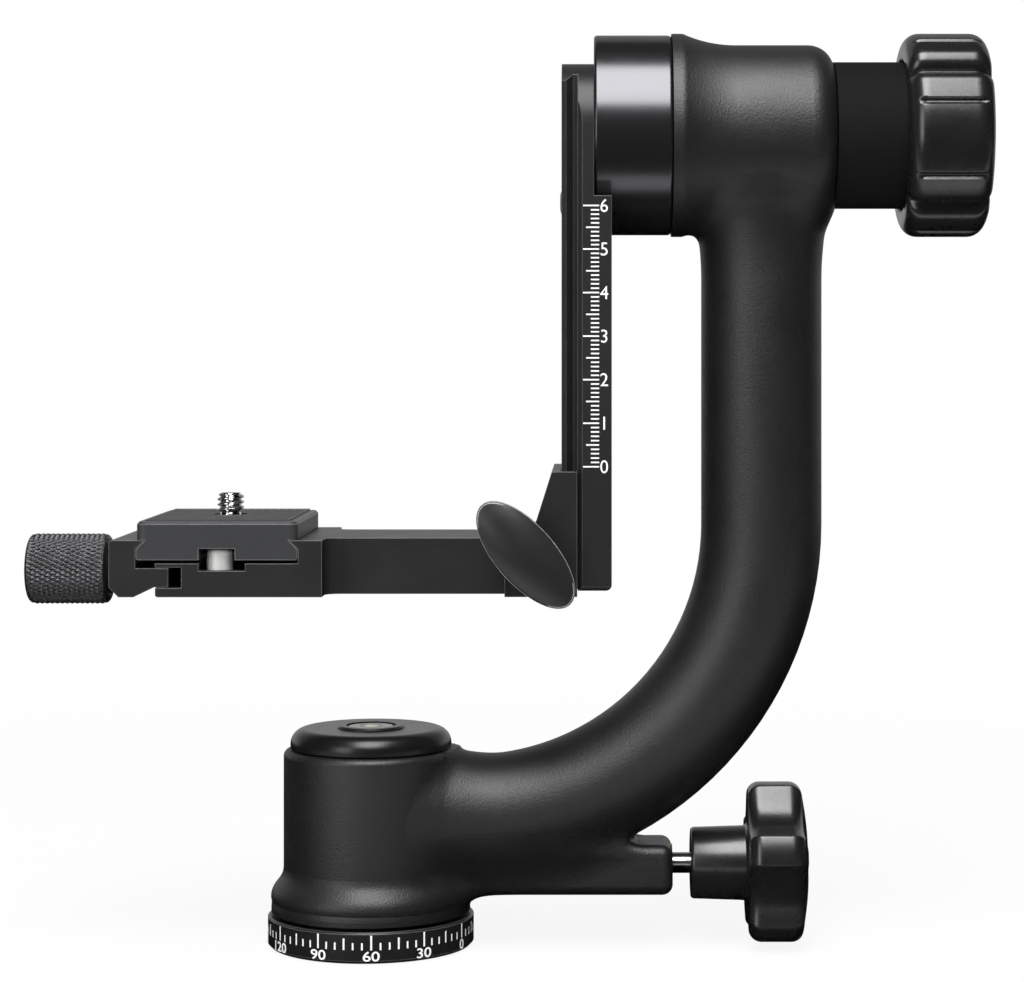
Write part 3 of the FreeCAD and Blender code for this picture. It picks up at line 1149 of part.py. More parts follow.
def paddle():
    """Flat oval wing on a round hub, with its stud through the bar."""
    place = Vector(size("paddle_across"), -size("upright_half") - size("face_gap"), size("paddle_height"))
    oval = doc.addObject("Part::Ellipse", "paddle_oval")
    oval.setExpression("MajorRadius", sheet("paddle_major"))
    oval.setExpression("MinorRadius", sheet("paddle_minor"))
    lean = Rotation(Vector(0, 1, 0), size("paddle_tilt")).multiply(Rotation(Vector(1, 0, 0), 90))
    wing_back = place - Vector(0, size("paddle_hub_length"), 0)
    oval.Placement = Placement(wing_back, lean)
    wing = doc.addObject("Part::Extrusion", "paddle_wing")
    wing.Base = oval
    wing.Dir = Vector(0, -1, 0)
    wing.setExpression("LengthFwd", sheet("paddle_thickness"))
    wing.Solid = True
    doc.recompute()
    eased = doc.addObject("Part::Chamfer", "paddle_wing_eased")
    eased.Base = wing
    eased.Edges = [(i, size("edge"), size("edge")) for i, edge in enumerate(wing.Shape.Edges, start=1)
                   if not isinstance(curve(edge), Part.Line)]
    hub = doc.addObject("Part::Cylinder", "paddle_hub_round")
    hub.setExpression("Radius", sheet("paddle_hub"))
    hub.setExpression("Height", sheet("paddle_hub_length"))
    hub.Placement = Placement(place, Rotation(Vector(0, 0, 1), Vector(0, -1, 0)))
    blank = doc.addObject("Part::Fuse", "paddle_blank")
    blank.Base = eased
    blank.Tool = hub
    stud = doc.addObject("Part::Cylinder", "paddle_screw_round")
    stud.setExpression("Radius", sheet("paddle_screw"))
    stud.setExpression("Height", sheet("paddle_hub_length + face_gap + upright_half - bar_half + paddle_grip"))
    stud.Placement = Placement(wing_back, Rotation(Vector(0, 0, 1), Vector(0, 1, 0)))
    stud.Label = "paddle_screw"
    PIECES["paddle_screw"] = stud
    bored = doc.addObject("Part::Cut", "clamp_paddle")
    bored.Base = blank
    bored.Tool = stud
    bored.Label = "clamp_paddle"
    PIECES["clamp_paddle"] = bored
    doc.recompute()


# Quick release clamp and plate

def clamp_jaw():
    """Moving jaw with the split tongue that runs in the clamp's slot."""
    body = new_body("clamp_jaw")
    wall = "(" + PLATE_LEFT + " - slide_gap)"
    flank = f"(bar_bottom + bar_height + plate_lift - plate_flank + slide_gap * {SLANT} - " + PLATE_LEFT + ")"
    left = "(" + wall + " - jaw_width)"
    tongue_low = JAW_TOP + " - tongue_bottom"
    profile = outline(body, "jaw_profile", "XZ_Plane", [
        (left, JAW_TOP + " - edge"),
        (left + " + edge", JAW_TOP),
        (JAW_TOP + " - " + flank, JAW_TOP),
        (wall, flank + " + " + wall),
        (wall, JAW_TOP + " - tongue_top"),
        (wall + " + tongue_length", JAW_TOP + " - tongue_top"),
        (wall + " + tongue_length", tongue_low),
        (wall + " + jaw_bevel * 2", tongue_low),
        (wall + " - edge", "bar_bottom"),
        (left + " + jaw_bevel", "bar_bottom"),
        (left, "bar_bottom + jaw_bevel"),
    ])
    extrude(body, "Pad", "jaw_block", profile, "2 * clamp_half", symmetric=True)
    gap = outline(body, "tongue_split", "XY_Plane", [
        (wall, "-tongue_gap"),
        (wall + " + tongue_length + 1", "-tongue_gap"),
        (wall + " + tongue_length + 1", "tongue_gap"),
        (wall, "tongue_gap"),
    ], JAW_TOP + " - tongue_top")
    extrude(body, "Pocket", "tongue_split_cut", gap, "tongue_bottom - tongue_top + jaw_bevel * 2")
    bore = circles(body, "jaw_bore", "YZ_Plane", [("0", "clamp_axis", "clamp_screw + running_gap")], wall)
    extrude(body, "Pocket", "jaw_bore_cut", bore, "jaw_width")


def clamp_knob():
    """Round knob with its neck, and the steel screw that it turns."""
    jaw = "(" + PLATE_LEFT + " - slide_gap - jaw_width - face_gap)"
    turned("clamp_knob", [
        ("clamp_knob_left", "0"),
        ("clamp_knob_left", "clamp_knob_radius - clamp_knob_chamfer"),
        ("clamp_knob_left + clamp_knob_chamfer", "clamp_knob_radius"),
        ("clamp_knob_right - clamp_knob_chamfer", "clamp_knob_radius"),
        ("clamp_knob_right", "clamp_knob_radius - clamp_knob_chamfer"),
        ("clamp_knob_right", "clamp_knob_neck"),
        (jaw, "clamp_knob_neck"),
        (jaw, "clamp_screw"),
        ("clamp_screw_start", "clamp_screw"),
        ("clamp_screw_start", "0"),
    ], "clamp_axis")
    turned("clamp_screw", sleeve("clamp_screw_start", "clamp_screw_end", "0", "clamp_screw"), "clamp_axis")


def quick_plate():
    """Dovetail plate with a slot under it and a recess for its rubber pad."""
    body = new_body("quick_plate")
    lip_low = "(" + JAW_TOP + " - plate_lip_bottom)"
    profile = outline(body, "plate_profile", "XZ_Plane", [
        (PLATE_LEFT + " + edge", lip_low),
        (PLATE_RIGHT + " - edge", lip_low),
        (PLATE_RIGHT, lip_low + " + edge"),
        (PLATE_RIGHT, PLATE_SHOULDER + " - plate_flank"),
        (PLATE_RIGHT + " - plate_flank", PLATE_SHOULDER),
        (PLATE_RIGHT, PLATE_SHOULDER),
        (PLATE_RIGHT, PLATE_TOP),
        (PLATE_LEFT, PLATE_TOP),
        (PLATE_LEFT, PLATE_SHOULDER),
        (PLATE_LEFT + " + plate_flank", PLATE_SHOULDER),
        (PLATE_LEFT, PLATE_SHOULDER + " - plate_flank"),
        (PLATE_LEFT, lip_low + " + edge"),
    ])
    extrude(body, "Pad", "plate_block", profile, "2 * plate_half", symmetric=True)
    top = size("bar_bottom") + size("bar_height") + size("plate_lift") + size("plate_height")
    ease(body, "Fillet", "plate_corners", "plate_round", lambda edge:
         along(edge, "z") and near(max(p.z for p in ends(edge)), top))
    ease(body, "Chamfer", "plate_rim", "1.5 * edge", lambda edge: near(edge.BoundBox.ZMin, top))
    recess = pad_outline(body, "pad_recess")
    extrude(body, "Pocket", "pad_recess_cut", recess, "pad_depth")
    slot = outline(body, "plate_slot", "XY_Plane", [
        ("plate_middle - plate_slot_half", "-plate_half - 1"),
        ("plate_middle + plate_slot_half", "-plate_half - 1"),
        ("plate_middle + plate_slot_half", "plate_slot_end"),
        ("plate_middle - plate_slot_half", "plate_slot_end"),
    ], lip_low + " + plate_slot_depth")
    extrude(body, "Pocket", "plate_slot_cut", slot, "plate_slot_depth")
    bore = circles(body, "plate_bore", "XY_Plane", [("plate_middle", "0", "screw_neck + slide_gap")], PLATE_TOP)
    extrude(body, "Pocket", "plate_bore_cut", bore, PLATE_TOP + " - " + lip_low)

    pad = new_body("plate_pad")
    face = pad_outline(pad, "pad_face")
    extrude(pad, "Pad", "pad_sheet", face, "pad_thickness")
    hole = circles(pad, "pad_hole", "XY_Plane", [("plate_middle", "0", "screw_radius + 2 * edge")],
                   PLATE_TOP + " - pad_depth + pad_thickness")
    extrude(pad, "Pocket", "pad_hole_cut", hole, "pad_thickness")


def pad_outline(body, name):
    """The rubber pad's rectangle. A pad stands on the recess's floor, a recess is cut from the top."""
    level = PLATE_TOP if name == "pad_recess" else PLATE_TOP + " - pad_depth"
    return outline(body, name, "XY_Plane", [
        (PLATE_LEFT + " + pad_inset", "-plate_half + pad_inset"),
        (PLATE_RIGHT + " - pad_inset", "-plate_half + pad_inset"),
        (PLATE_RIGHT + " - pad_inset", "plate_half - pad_inset"),
        (PLATE_LEFT + " + pad_inset", "plate_half - pad_inset"),
    ], level)


def camera_screw():
    """Captive 1/4 inch screw: head in the plate's slot, bare neck, thread over the pad."""
    ceiling = "(" + JAW_TOP + " - plate_lip_bottom + plate_slot_depth - face_gap)"
    start = "(" + PLATE_TOP + " - pad_depth + pad_thickness + screw_start)"
    end = "(" + PLATE_TOP + " - pad_depth + pad_thickness + screw_start + screw_length)"
    body = turned("camera_screw", [
        ("0", ceiling + " - screw_head_height"),
        ("screw_head", ceiling + " - screw_head_height"),
        ("screw_head", ceiling),
        ("screw_neck", ceiling),
        ("screw_neck", start + " - edge"),
        ("screw_radius", start),
        ("screw_radius", end),
        ("screw_radius - edge", end + " + edge"),
        ("0", end + " + edge"),
    ], upright=True)
    body.setExpression("Placement.Base.x", sheet("plate_middle"))


def safety_pin():
    """Sprung pin in the clamp's floor that stops the plate, with its spring and the plug under it."""
    top = "(" + CLAMP_FLOOR + " + pin_proud)"
    low = "(" + CLAMP_FLOOR + " + pin_proud - pin_length)"
    pin = turned("stop_pin", [
        ("pin_bore", low),
        ("pin_foot_radius", low),
        ("pin_foot_radius", low + " + pin_foot_height"),
        ("pin_radius", low + " + pin_foot_height"),
        ("pin_radius", top),
        ("0", top),
        ("0", low + " + pin_bore_depth"),
        ("pin_bore", low + " + pin_bore_depth"),
    ], upright=True)
    ease(pin, "Fillet", "pin_dome", "2.5 * edge", lambda edge: near(edge.BoundBox.ZMin, pin.Shape.BoundBox.ZMax))
    plug = doc.addObject("Part::Cylinder", "pin_plug")
    plug.setExpression("Radius", sheet("pin_foot_radius + running_gap"))
    plug.setExpression("Height", sheet("pin_plug_height"))
    plug.setExpression("Placement.Base.z", sheet("bar_bottom"))
    plug.Label = "pin_plug"
    PIECES["pin_plug"] = plug
    for piece in (pin, plug):
        piece.setExpression("Placement.Base.x", sheet("plate_middle"))
        piece.setExpression("Placement.Base.y", sheet("-pin_place"))

    wire = size("spring_wire")
    bottom = size("bar_bottom") + size("pin_plug_height") + wire
    roof = (size("bar_bottom") + size("bar_height") - size("clamp_floor_depth") + size("pin_proud")
            - size("pin_length") + size("pin_bore_depth"))
    height = roof - wire - bottom
    helix = Part.makeHelix(height / size("spring_turns"), height, size("spring_radius"))
    start = helix.Edges[0].valueAt(helix.Edges[0].FirstParameter)
    section = Part.Wire(Part.makeCircle(wire, start, helix.Edges[0].tangentAt(helix.Edges[0].FirstParameter)))
    coil = Part.Wire(helix.Edges).makePipeShell([section], True, True)
    group("pin_spring", [placed(coil, Vector(size("plate_middle"), -size("pin_place"), bottom))])


def check_and_write():
    """Stops on a failed object or shape, then writes one file for each piece."""
    for item in doc.Objects:
        if {"Invalid", "Error"} & set(item.State):
            raise RuntimeError(f"{item.Label} failed: {item.State}")
    os.makedirs("parts", exist_ok=True)
    for label, piece in PIECES.items():
        shape = piece.Shape
        if shape.isNull() or not shape.isValid() or not shape.Solids:
            raise RuntimeError(f"{label} has no valid solid")
        shape.exportStep(f"parts/{label}.step")
        box = shape.BoundBox
        print(f"{label:18s} solids {len(shape.Solids)} volume {shape.Volume:10.1f}  "
              f"x {box.XMin:7.2f} {box.XMax:7.2f}  y {box.YMin:7.2f} {box.YMax:7.2f}  "
              f"z {box.ZMin:7.2f} {box.ZMax:7.2f}")
    print(len(PIECES), "pieces")


graduated_base()
spindle()
spindle_fasteners()
arm_casting()
pan_fittings()
pan_lock()
tilt_axle()
tilt_drum()
tilt_lock()
swing_rail()
rail_fasteners()
platform_bar()
rail_jaw()
paddle()
clamp_jaw()
clamp_knob()
quick_plate()
camera_screw()
safety_pin()
doc.recompute()
check_and_write()
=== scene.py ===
# %% [markdown]
# # Gimbal head
#
# A gimbal head carries a long lens on a tripod. The curved arm pans on a graduated base, and at
# its top an axle carries a swinging dovetail rail. A platform with a quick release clamp slides
# on that rail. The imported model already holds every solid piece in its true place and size.
# This lesson gives each piece its finish, and makes in fine mesh what a solid model leaves
# plain: threads, knurling, the rubber's pattern, the painted scales and the soft blends of the
# casting. All lengths below are in millimetres and become metres when a mesh is made.

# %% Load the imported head
import math

import bmesh
import bpy
import numpy as np
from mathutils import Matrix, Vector


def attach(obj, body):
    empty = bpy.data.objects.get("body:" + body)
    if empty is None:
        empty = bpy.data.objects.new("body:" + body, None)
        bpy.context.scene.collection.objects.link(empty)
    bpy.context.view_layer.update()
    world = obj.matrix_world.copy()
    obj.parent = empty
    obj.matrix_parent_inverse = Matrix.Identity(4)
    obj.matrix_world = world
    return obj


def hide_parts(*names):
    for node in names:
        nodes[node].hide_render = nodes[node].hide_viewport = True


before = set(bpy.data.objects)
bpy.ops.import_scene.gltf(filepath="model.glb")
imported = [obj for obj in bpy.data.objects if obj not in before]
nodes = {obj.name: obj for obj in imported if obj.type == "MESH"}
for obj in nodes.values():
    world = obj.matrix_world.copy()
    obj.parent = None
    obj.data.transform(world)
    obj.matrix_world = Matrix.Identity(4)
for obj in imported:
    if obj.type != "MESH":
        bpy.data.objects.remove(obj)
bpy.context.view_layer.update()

MM = 0.001

# %% [markdown]
# ## Camera
#
# The photograph looks at the head straight from the front, from a little under the height of
# the tilt axis, with upright lines kept upright. A lens on a view camera does this by sliding
# sideways, not by tilting, so the camera here looks level along +Y and its sensor is shifted.
# A pose with a plain tilt would make the rail and the arm lean.

# %% Camera
EYE = (52.1, -650.0, 138.6)
LENS = 96.0
SHIFT = (-0.0762, -0.1283)

camera_data = bpy.data.cameras.new("camera")
camera_data.sensor_width = 36.0
camera_data.lens = LENS
camera_data.shift_x, camera_data.shift_y = SHIFT
camera_data.clip_start, camera_data.clip_end = 0.05, 20.0
camera = bpy.data.objects.new("camera", camera_data)
camera.location = [value * MM for value in EYE]
camera.rotation_euler = (math.pi / 2, 0.0, 0.0)
bpy.context.scene.collection.objects.link(camera)
bpy.context.scene.camera = camera
bpy.context.scene.view_settings.view_transform = "Standard"
print("camera at", [round(value) for value in EYE], "mm, lens", LENS, "mm")

# %% [markdown]
# ## Small helpers for node trees
#
# A material is a graph of nodes. Two helpers keep the cells below short: one adds a node with
# its settings and its inputs in a single line, the other opens a new shader node group with
# named sockets. An input that is given a socket is wired to it, and any other input is set.

# %% Node helpers
def node(tree, kind, values=None, **settings):
    """A node of this kind: settings are its properties, values its inputs or what feeds them."""
    made = tree.nodes.new(kind)
    for name, value in settings.items():
        setattr(made, name, value)
    for socket, value in (values or {}).items():
        if isinstance(value, bpy.types.NodeSocket):
            tree.links.new(value, made.inputs[socket])
        else:
            made.inputs[socket].default_value = value
    return made


def math_node(tree, operation, first, second=0.5, clamp=False):
    """One step of arithmetic on two values, as a node's output."""
    made = node(tree, "ShaderNodeMath", {0: first, 1: second}, operation=operation, use_clamp=clamp)
    return made.outputs[0]


def shader_group(name, inputs, outputs):
    """An empty shader node group, with its input and output sockets: name, kind and first value."""
    tree = bpy.data.node_groups.new(name, "ShaderNodeTree")
    for title, kind, value in inputs:
        socket = tree.interface.new_socket(title, in_out="INPUT", socket_type="NodeSocket" + kind)
        socket.default_value = value
    for title, kind in outputs:
        tree.interface.new_socket(title, in_out="OUTPUT", socket_type="NodeSocket" + kind)
    return tree, tree.nodes.new("NodeGroupInput").outputs, tree.nodes.new("NodeGroupOutput").inputs


print("helpers ready")

# %% [markdown]
# ## Grain
#
# Powder coat, blasted metal, moulded plastic and rubber all have a skin with tiny bumps. The
# bumps scatter the highlight, which is why a black casting shows light speckles where it shines.
# One group serves all of them: noise at the size of the grain for the bumps, and a much
# larger, soft noise for the patches where a hand or a cloth has changed the gloss.

# %% Grain group
grain_tree, given, result = shader_group(
    "grain",
    [("Vector", "Vector", (0, 0, 0)), ("Grain size", "Float", 0.0002), ("Patch size", "Float", 0.01)],
    [("Height", "Float"), ("Patches", "Float")],
)
for title, size_socket, detail in (("Height", "Grain size", 3.0), ("Patches", "Patch size", 2.0)):
    scale = math_node(grain_tree, "DIVIDE", 1.0, given[size_socket])
    noise = node(grain_tree, "ShaderNodeTexNoise",
                 {"Vector": given["Vector"], "Scale": scale, "Detail": detail, "Roughness": 0.6})
    grain_tree.links.new(noise.outputs["Fac"], result[title])
print("group", grain_tree.name)

# %% [markdown]
# ## Turned lines
#
# A cutting tool on a lathe leaves very fine rings on the drum, the base, the collar and the
# knobs' metal. They lie across the axis, so a pattern that changes only with the distance along
# the axis and from the axis looks right on the rim and on the end faces alike.

# %% Turned lines group
lines_tree, given, result = shader_group(
    "turned_lines",
    [("Vector", "Vector", (0, 0, 0)), ("Centre", "Vector", (0, 0, 0)), ("Axis", "Vector", (0, 0, 1)),
     ("Spacing", "Float", 0.00015)],
    [("Height", "Float")],
)
from_centre = node(lines_tree, "ShaderNodeVectorMath", {0: given["Vector"], 1: given["Centre"]},
                   operation="SUBTRACT").outputs["Vector"]
along = node(lines_tree, "ShaderNodeVectorMath", {0: from_centre, 1: given["Axis"]},
             operation="DOT_PRODUCT").outputs["Value"]
across = node(lines_tree, "ShaderNodeVectorMath", {0: from_centre, 1: given["Axis"]},
              operation="CROSS_PRODUCT").outputs["Vector"]
radius = node(lines_tree, "ShaderNodeVectorMath", {0: across}, operation="LENGTH").outputs["Value"]
place = node(lines_tree, "ShaderNodeCombineXYZ", {0: along, 1: radius, 2: 0.0}).outputs[0]
scale = math_node(lines_tree, "DIVIDE", 1.0, given["Spacing"])
noise = node(lines_tree, "ShaderNodeTexNoise",
             {"Vector": place, "Scale": scale, "Detail": 2.0, "Roughness": 0.7})
lines_tree.links.new(noise.outputs["Fac"], result["Height"])
print("group", lines_tree.name)

# %% [markdown]
# ## Worn and lit edges
#
# Machined edges are broken with a file or a light chamfer, and the black layer is thinnest
# there, so they show as fine pale lines. The group rounds the shading across each edge and finds
# where that rounding turns the surface away from its face; there the colour is painted paler,
# partly for wear and partly as a painted highlight. A noise breaks the line up, because no edge
# wears evenly.

# %% Worn and lit edges group
edges_tree, given, result = shader_group(
    "worn_and_lit_edges",
    [("Vector", "Vector", (0, 0, 0)), ("Width", "Float", 0.0003), ("Amount", "Float", 1.0)],
    [("Mask", "Float"), ("Normal", "Vector")],
)
rounded = node(edges_tree, "ShaderNodeBevel", {"Radius": given["Width"]}, samples=6).outputs["Normal"]
face = node(edges_tree, "ShaderNodeNewGeometry").outputs["Normal"]
agreement = node(edges_tree, "ShaderNodeVectorMath", {0: rounded, 1: face},
                 operation="DOT_PRODUCT").outputs["Value"]
turn = math_node(edges_tree, "MULTIPLY", math_node(edges_tree, "SUBTRACT", 1.0, agreement), 9.0)
noise = node(edges_tree, "ShaderNodeTexNoise", {"Vector": given["Vector"], "Scale": 900.0, "Detail": 3.0})
broken = math_node(edges_tree, "ADD", noise.outputs["Fac"], 0.35, clamp=True)
# The mask marks the paler edges: partly wear, partly a painted highlight.
mask = math_node(edges_tree, "MULTIPLY", turn, broken)
mask = math_node(edges_tree, "MULTIPLY", mask, given["Amount"], clamp=True)
edges_tree.links.new(mask, result["Mask"])
edges_tree.links.new(rounded, result["Normal"])
print("group", edges_tree.name)

# %% [markdown]
# ## A finish
#
# Every finish on the head is one Principled shader. The differences are its colour and gloss
# and which of the three groups it takes: grain on all of them, turned lines on what comes from
# a lathe, and paler edges, partly wear and partly painted highlight, on what is milled.
# Coordinates are Object coordinates. All pieces have their origin at the frame's origin, so a
# pattern keeps its true size and stays on its piece when the head moves.

# %% Finish builder
MICRON = 0.000001


def finish(name, colour, roughness, metallic=0.0, specular=0.5, grain=(0.2, 3.0),
           patches=(9.0, 0.12), lines=None, edge=None):
    """A finish. Grain is its size in mm and height in microns, patches their size and strength.

    Lines are centre, axis, spacing and height of turned lines. Edge is the width, amount and
    colour of the paler edges, partly wear and partly painted highlight. The bump is grain plus
    lines, and roughness varies with the patches.
    """
    material = bpy.data.materials.new(name)
    material.use_nodes = True
    tree = material.node_tree
    shader = tree.nodes["Principled BSDF"]
    shader.inputs["Metallic"].default_value = metallic
    shader.inputs["Specular IOR Level"].default_value = specular
    place = node(tree, "ShaderNodeTexCoord").outputs["Object"]

    skin = node(tree, "ShaderNodeGroup", node_tree=grain_tree)
    tree.links.new(place, skin.inputs["Vector"])
    skin.inputs["Grain size"].default_value = grain[0] * MM
    skin.inputs["Patch size"].default_value = patches[0] * MM
    uneven = math_node(tree, "SUBTRACT", skin.outputs["Patches"], 0.5)
    uneven = math_node(tree, "MULTIPLY", uneven, patches[1])
    gloss = math_node(tree, "ADD", uneven, roughness, clamp=True)
    shade = math_node(tree, "ADD", math_node(tree, "MULTIPLY", uneven, 2.0), 1.0)
    tint = node(tree, "ShaderNodeVectorMath", {0: colour, "Scale": shade}, operation="SCALE").outputs[0]
    height = math_node(tree, "MULTIPLY", skin.outputs["Height"], grain[1] * MICRON)

    if lines:
        centre, axis, spacing, depth = lines
        turned = node(tree, "ShaderNodeGroup", node_tree=lines_tree)
        tree.links.new(place, turned.inputs["Vector"])
        turned.inputs["Centre"].default_value = [value * MM for value in centre]
        turned.inputs["Axis"].default_value = axis
        turned.inputs["Spacing"].default_value = spacing * MM
        rings = math_node(tree, "MULTIPLY", turned.outputs["Height"], depth * MICRON)
        height = math_node(tree, "ADD", height, rings)
    bump = node(tree, "ShaderNodeBump", {"Strength": 1.0, "Distance": 1.0, "Height": height})
    if edge:
        width, amount, wear_and_highlight_colour = edge
        edge_wear_and_highlight = node(tree, "ShaderNodeGroup", node_tree=edges_tree)
        tree.links.new(place, edge_wear_and_highlight.inputs["Vector"])
        edge_wear_and_highlight.inputs["Width"].default_value = width * MM
        edge_wear_and_highlight.inputs["Amount"].default_value = amount
        tree.links.new(edge_wear_and_highlight.outputs["Normal"], bump.inputs["Normal"])
        # Paler edges: partly bare wear, partly a painted highlight.
        blend = node(tree, "ShaderNodeMix", {0: edge_wear_and_highlight.outputs["Mask"]}, data_type="RGBA")
        tree.links.new(tint, blend.inputs[6])
        blend.inputs[7].default_value = (*wear_and_highlight_colour, 1.0)
        tint = blend.outputs[2]
    tree.links.new(tint, shader.inputs["Base Color"])
    tree.links.new(gloss, shader.inputs["Roughness"])
    tree.links.new(bump.outputs["Normal"], shader.inputs["Normal"])
    return material


print("finish builder ready")

# %% [markdown]
# ## The head's finishes
#
# The casting is powder coated: black, satin and finely grained. Milled pieces are black
# anodised with a blasted skin, the drum is anodised over bright turning and so much glossier.
# The sleeve by the tilt knob is dead matt and the knobs are moulded plastic with a soft shine.
# Steel shows only on the lock's shaft, the safety pin and the camera screw. The pin's steel is
# a near-white painted sheen.

# %% Black finishes
TILT = (0.0, 0.0, 191.9)
LOCK = (0.0, 0.0, 18.9)
CLAMP = (0.0, 0.0, 88.9)
PAN = (0.0, 0.0, 0.0)
ALONG_X = (1.0, 0.0, 0.0)
ALONG_Z = (0.0, 0.0, 1.0)

powder_coat = finish("powder_coat", (0.0065, 0.0065, 0.0068), 0.46, specular=0.8, grain=(0.5, 90.0))
machined_black = finish("machined_black", (0.0155, 0.0155, 0.0163), 0.40, specular=0.4, grain=(0.12, 2.5),
                        edge=(0.3, 0.7, (0.20, 0.20, 0.205)))
rail_black = finish("rail_black", (0.016, 0.016, 0.0168), 0.38, specular=0.4, grain=(0.12, 2.0),
                    edge=(0.3, 0.6, (0.17, 0.17, 0.175)))
plate_black = finish("plate_black", (0.034, 0.035, 0.038), 0.42, specular=0.4, grain=(0.12, 2.5),
                     edge=(0.35, 0.9, (0.27, 0.275, 0.285)))
disc_black = finish("disc_black", (0.011, 0.011, 0.012), 0.34, specular=0.4, grain=(0.12, 1.0),
                    lines=(PAN, ALONG_Z, 0.12, 1.6), edge=(0.25, 0.8, (0.28, 0.28, 0.28)))
drum_gloss = finish("drum_gloss", (0.085, 0.085, 0.09), 0.24, metallic=0.9, grain=(0.25, 1.2),
                    patches=(3.0, 0.05), lines=(TILT, ALONG_X, 0.2, 0.8), edge=(0.3, 0.6, (0.4, 0.4, 0.41)))
collar_matt = finish("collar_matt", (0.006, 0.006, 0.006), 0.75, specular=0.12, grain=(0.15, 4.0),
                     lines=(TILT, ALONG_X, 0.25, 2.0))
cap_gloss = finish("cap_gloss", (0.006, 0.006, 0.0065), 0.30, grain=(0.35, 6.0), patches=(5.0, 0.06))
bezel_black = finish("bezel_black", (0.015, 0.015, 0.016), 0.3, grain=(0.1, 0.8),
                     lines=(PAN, ALONG_Z, 0.1, 0.8))
knob_plastic = finish("knob_plastic", (0.010, 0.010, 0.0105), 0.27, specular=0.85, grain=(0.4, 14.0),
                      patches=(6.0, 0.1))
# The paddle's edges are painted near white and strong: a painted highlight for its bright rim.
paddle_black = finish("paddle_black", (0.013, 0.013, 0.0138), 0.36, specular=0.6, grain=(0.15, 1.5),
                      edge=(0.35, 2.4, (0.8, 0.8, 0.8)))
pad_rubber = finish("pad_rubber", (0.07, 0.07, 0.07), 0.48, grain=(0.25, 6.0), patches=(4.0, 0.1))
screw_black = finish("screw_black", (0.03, 0.03, 0.032), 0.35, metallic=0.7, grain=(0.1, 1.0))
print("black finishes", len(bpy.data.materials))

# %% Bright finishes
shaft_steel = finish("shaft_steel", (0.55, 0.55, 0.54), 0.24, metallic=1.0, grain=(0.1, 0.3),
                     lines=(LOCK, ALONG_X, 0.08, 0.5))
axle_steel = finish("axle_steel", (0.62, 0.61, 0.60), 0.3, metallic=1.0, grain=(0.1, 0.5),
                    lines=(TILT, ALONG_X, 0.1, 1.0))
spindle_steel = finish("spindle_steel", (0.62, 0.61, 0.60), 0.3, metallic=1.0, grain=(0.1, 0.5),
                       lines=(PAN, ALONG_Z, 0.1, 1.0))
clamp_steel = finish("clamp_steel", (0.62, 0.61, 0.60), 0.28, metallic=1.0, grain=(0.1, 0.5),
                     lines=(CLAMP, ALONG_X, 0.1, 1.0))
# The safety pin is near white and barely metallic: a painted sheen that stands in for the steel's reflection
# in its shaded recess.
pin_painted_sheen = finish("pin_painted_sheen", (0.93, 0.92, 0.90), 0.4, metallic=0.1, grain=(0.15, 1.5))
screw_chrome = finish("screw_chrome", (0.78, 0.78, 0.79), 0.1, metallic=1.0, grain=(0.2, 0.4))
knurl_metal = finish("knurl_metal", (0.06, 0.06, 0.064), 0.36, metallic=0.85, grain=(0.1, 1.5),
                     edge=(0.15, 0.8, (0.3, 0.3, 0.31)))
bush_bronze = finish("bush_bronze", (0.55, 0.38, 0.16), 0.35, metallic=1.0, grain=(0.15, 1.5))
washer_dark = finish("washer_dark", (0.006, 0.006, 0.006), 0.6, specular=0.2, grain=(0.2, 1.5))
pad_nylon = finish("pad_nylon", (0.75, 0.74, 0.70), 0.5, grain=(0.3, 2.0))
scale_paint = finish("scale_paint", (0.86, 0.86, 0.84), 0.5, grain=(0.12, 2.0), patches=(1.5, 0.08))
print("all finishes", len(bpy.data.materials))

# %% [markdown]
# ## The level's glass
#
# The round level is a small glass drum with tinted spirit. Glass keeps a plain transmission
# value, and a soft wave in the bump stands for the moulded dome. A yellow-green tint is what
# makes the bubble easy to read against the black cap.

# %% Vial glass
vial_glass = finish("vial_glass", (0.80, 0.84, 0.66), 0.03, grain=(2.0, 0.5), patches=(4.0, 0.01))
vial_glass.node_tree.nodes["Principled BSDF"].inputs["Transmission Weight"].default_value = 0.9
vial_glass.node_tree.nodes["Principled BSDF"].inputs["IOR"].default_value = 1.45
print("vial", vial_glass.name)

# %% [markdown]
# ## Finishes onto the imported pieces
#
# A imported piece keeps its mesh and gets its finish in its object's material slots. Pieces with
# the same finish are listed together, so a change of one finish shows on all of them.

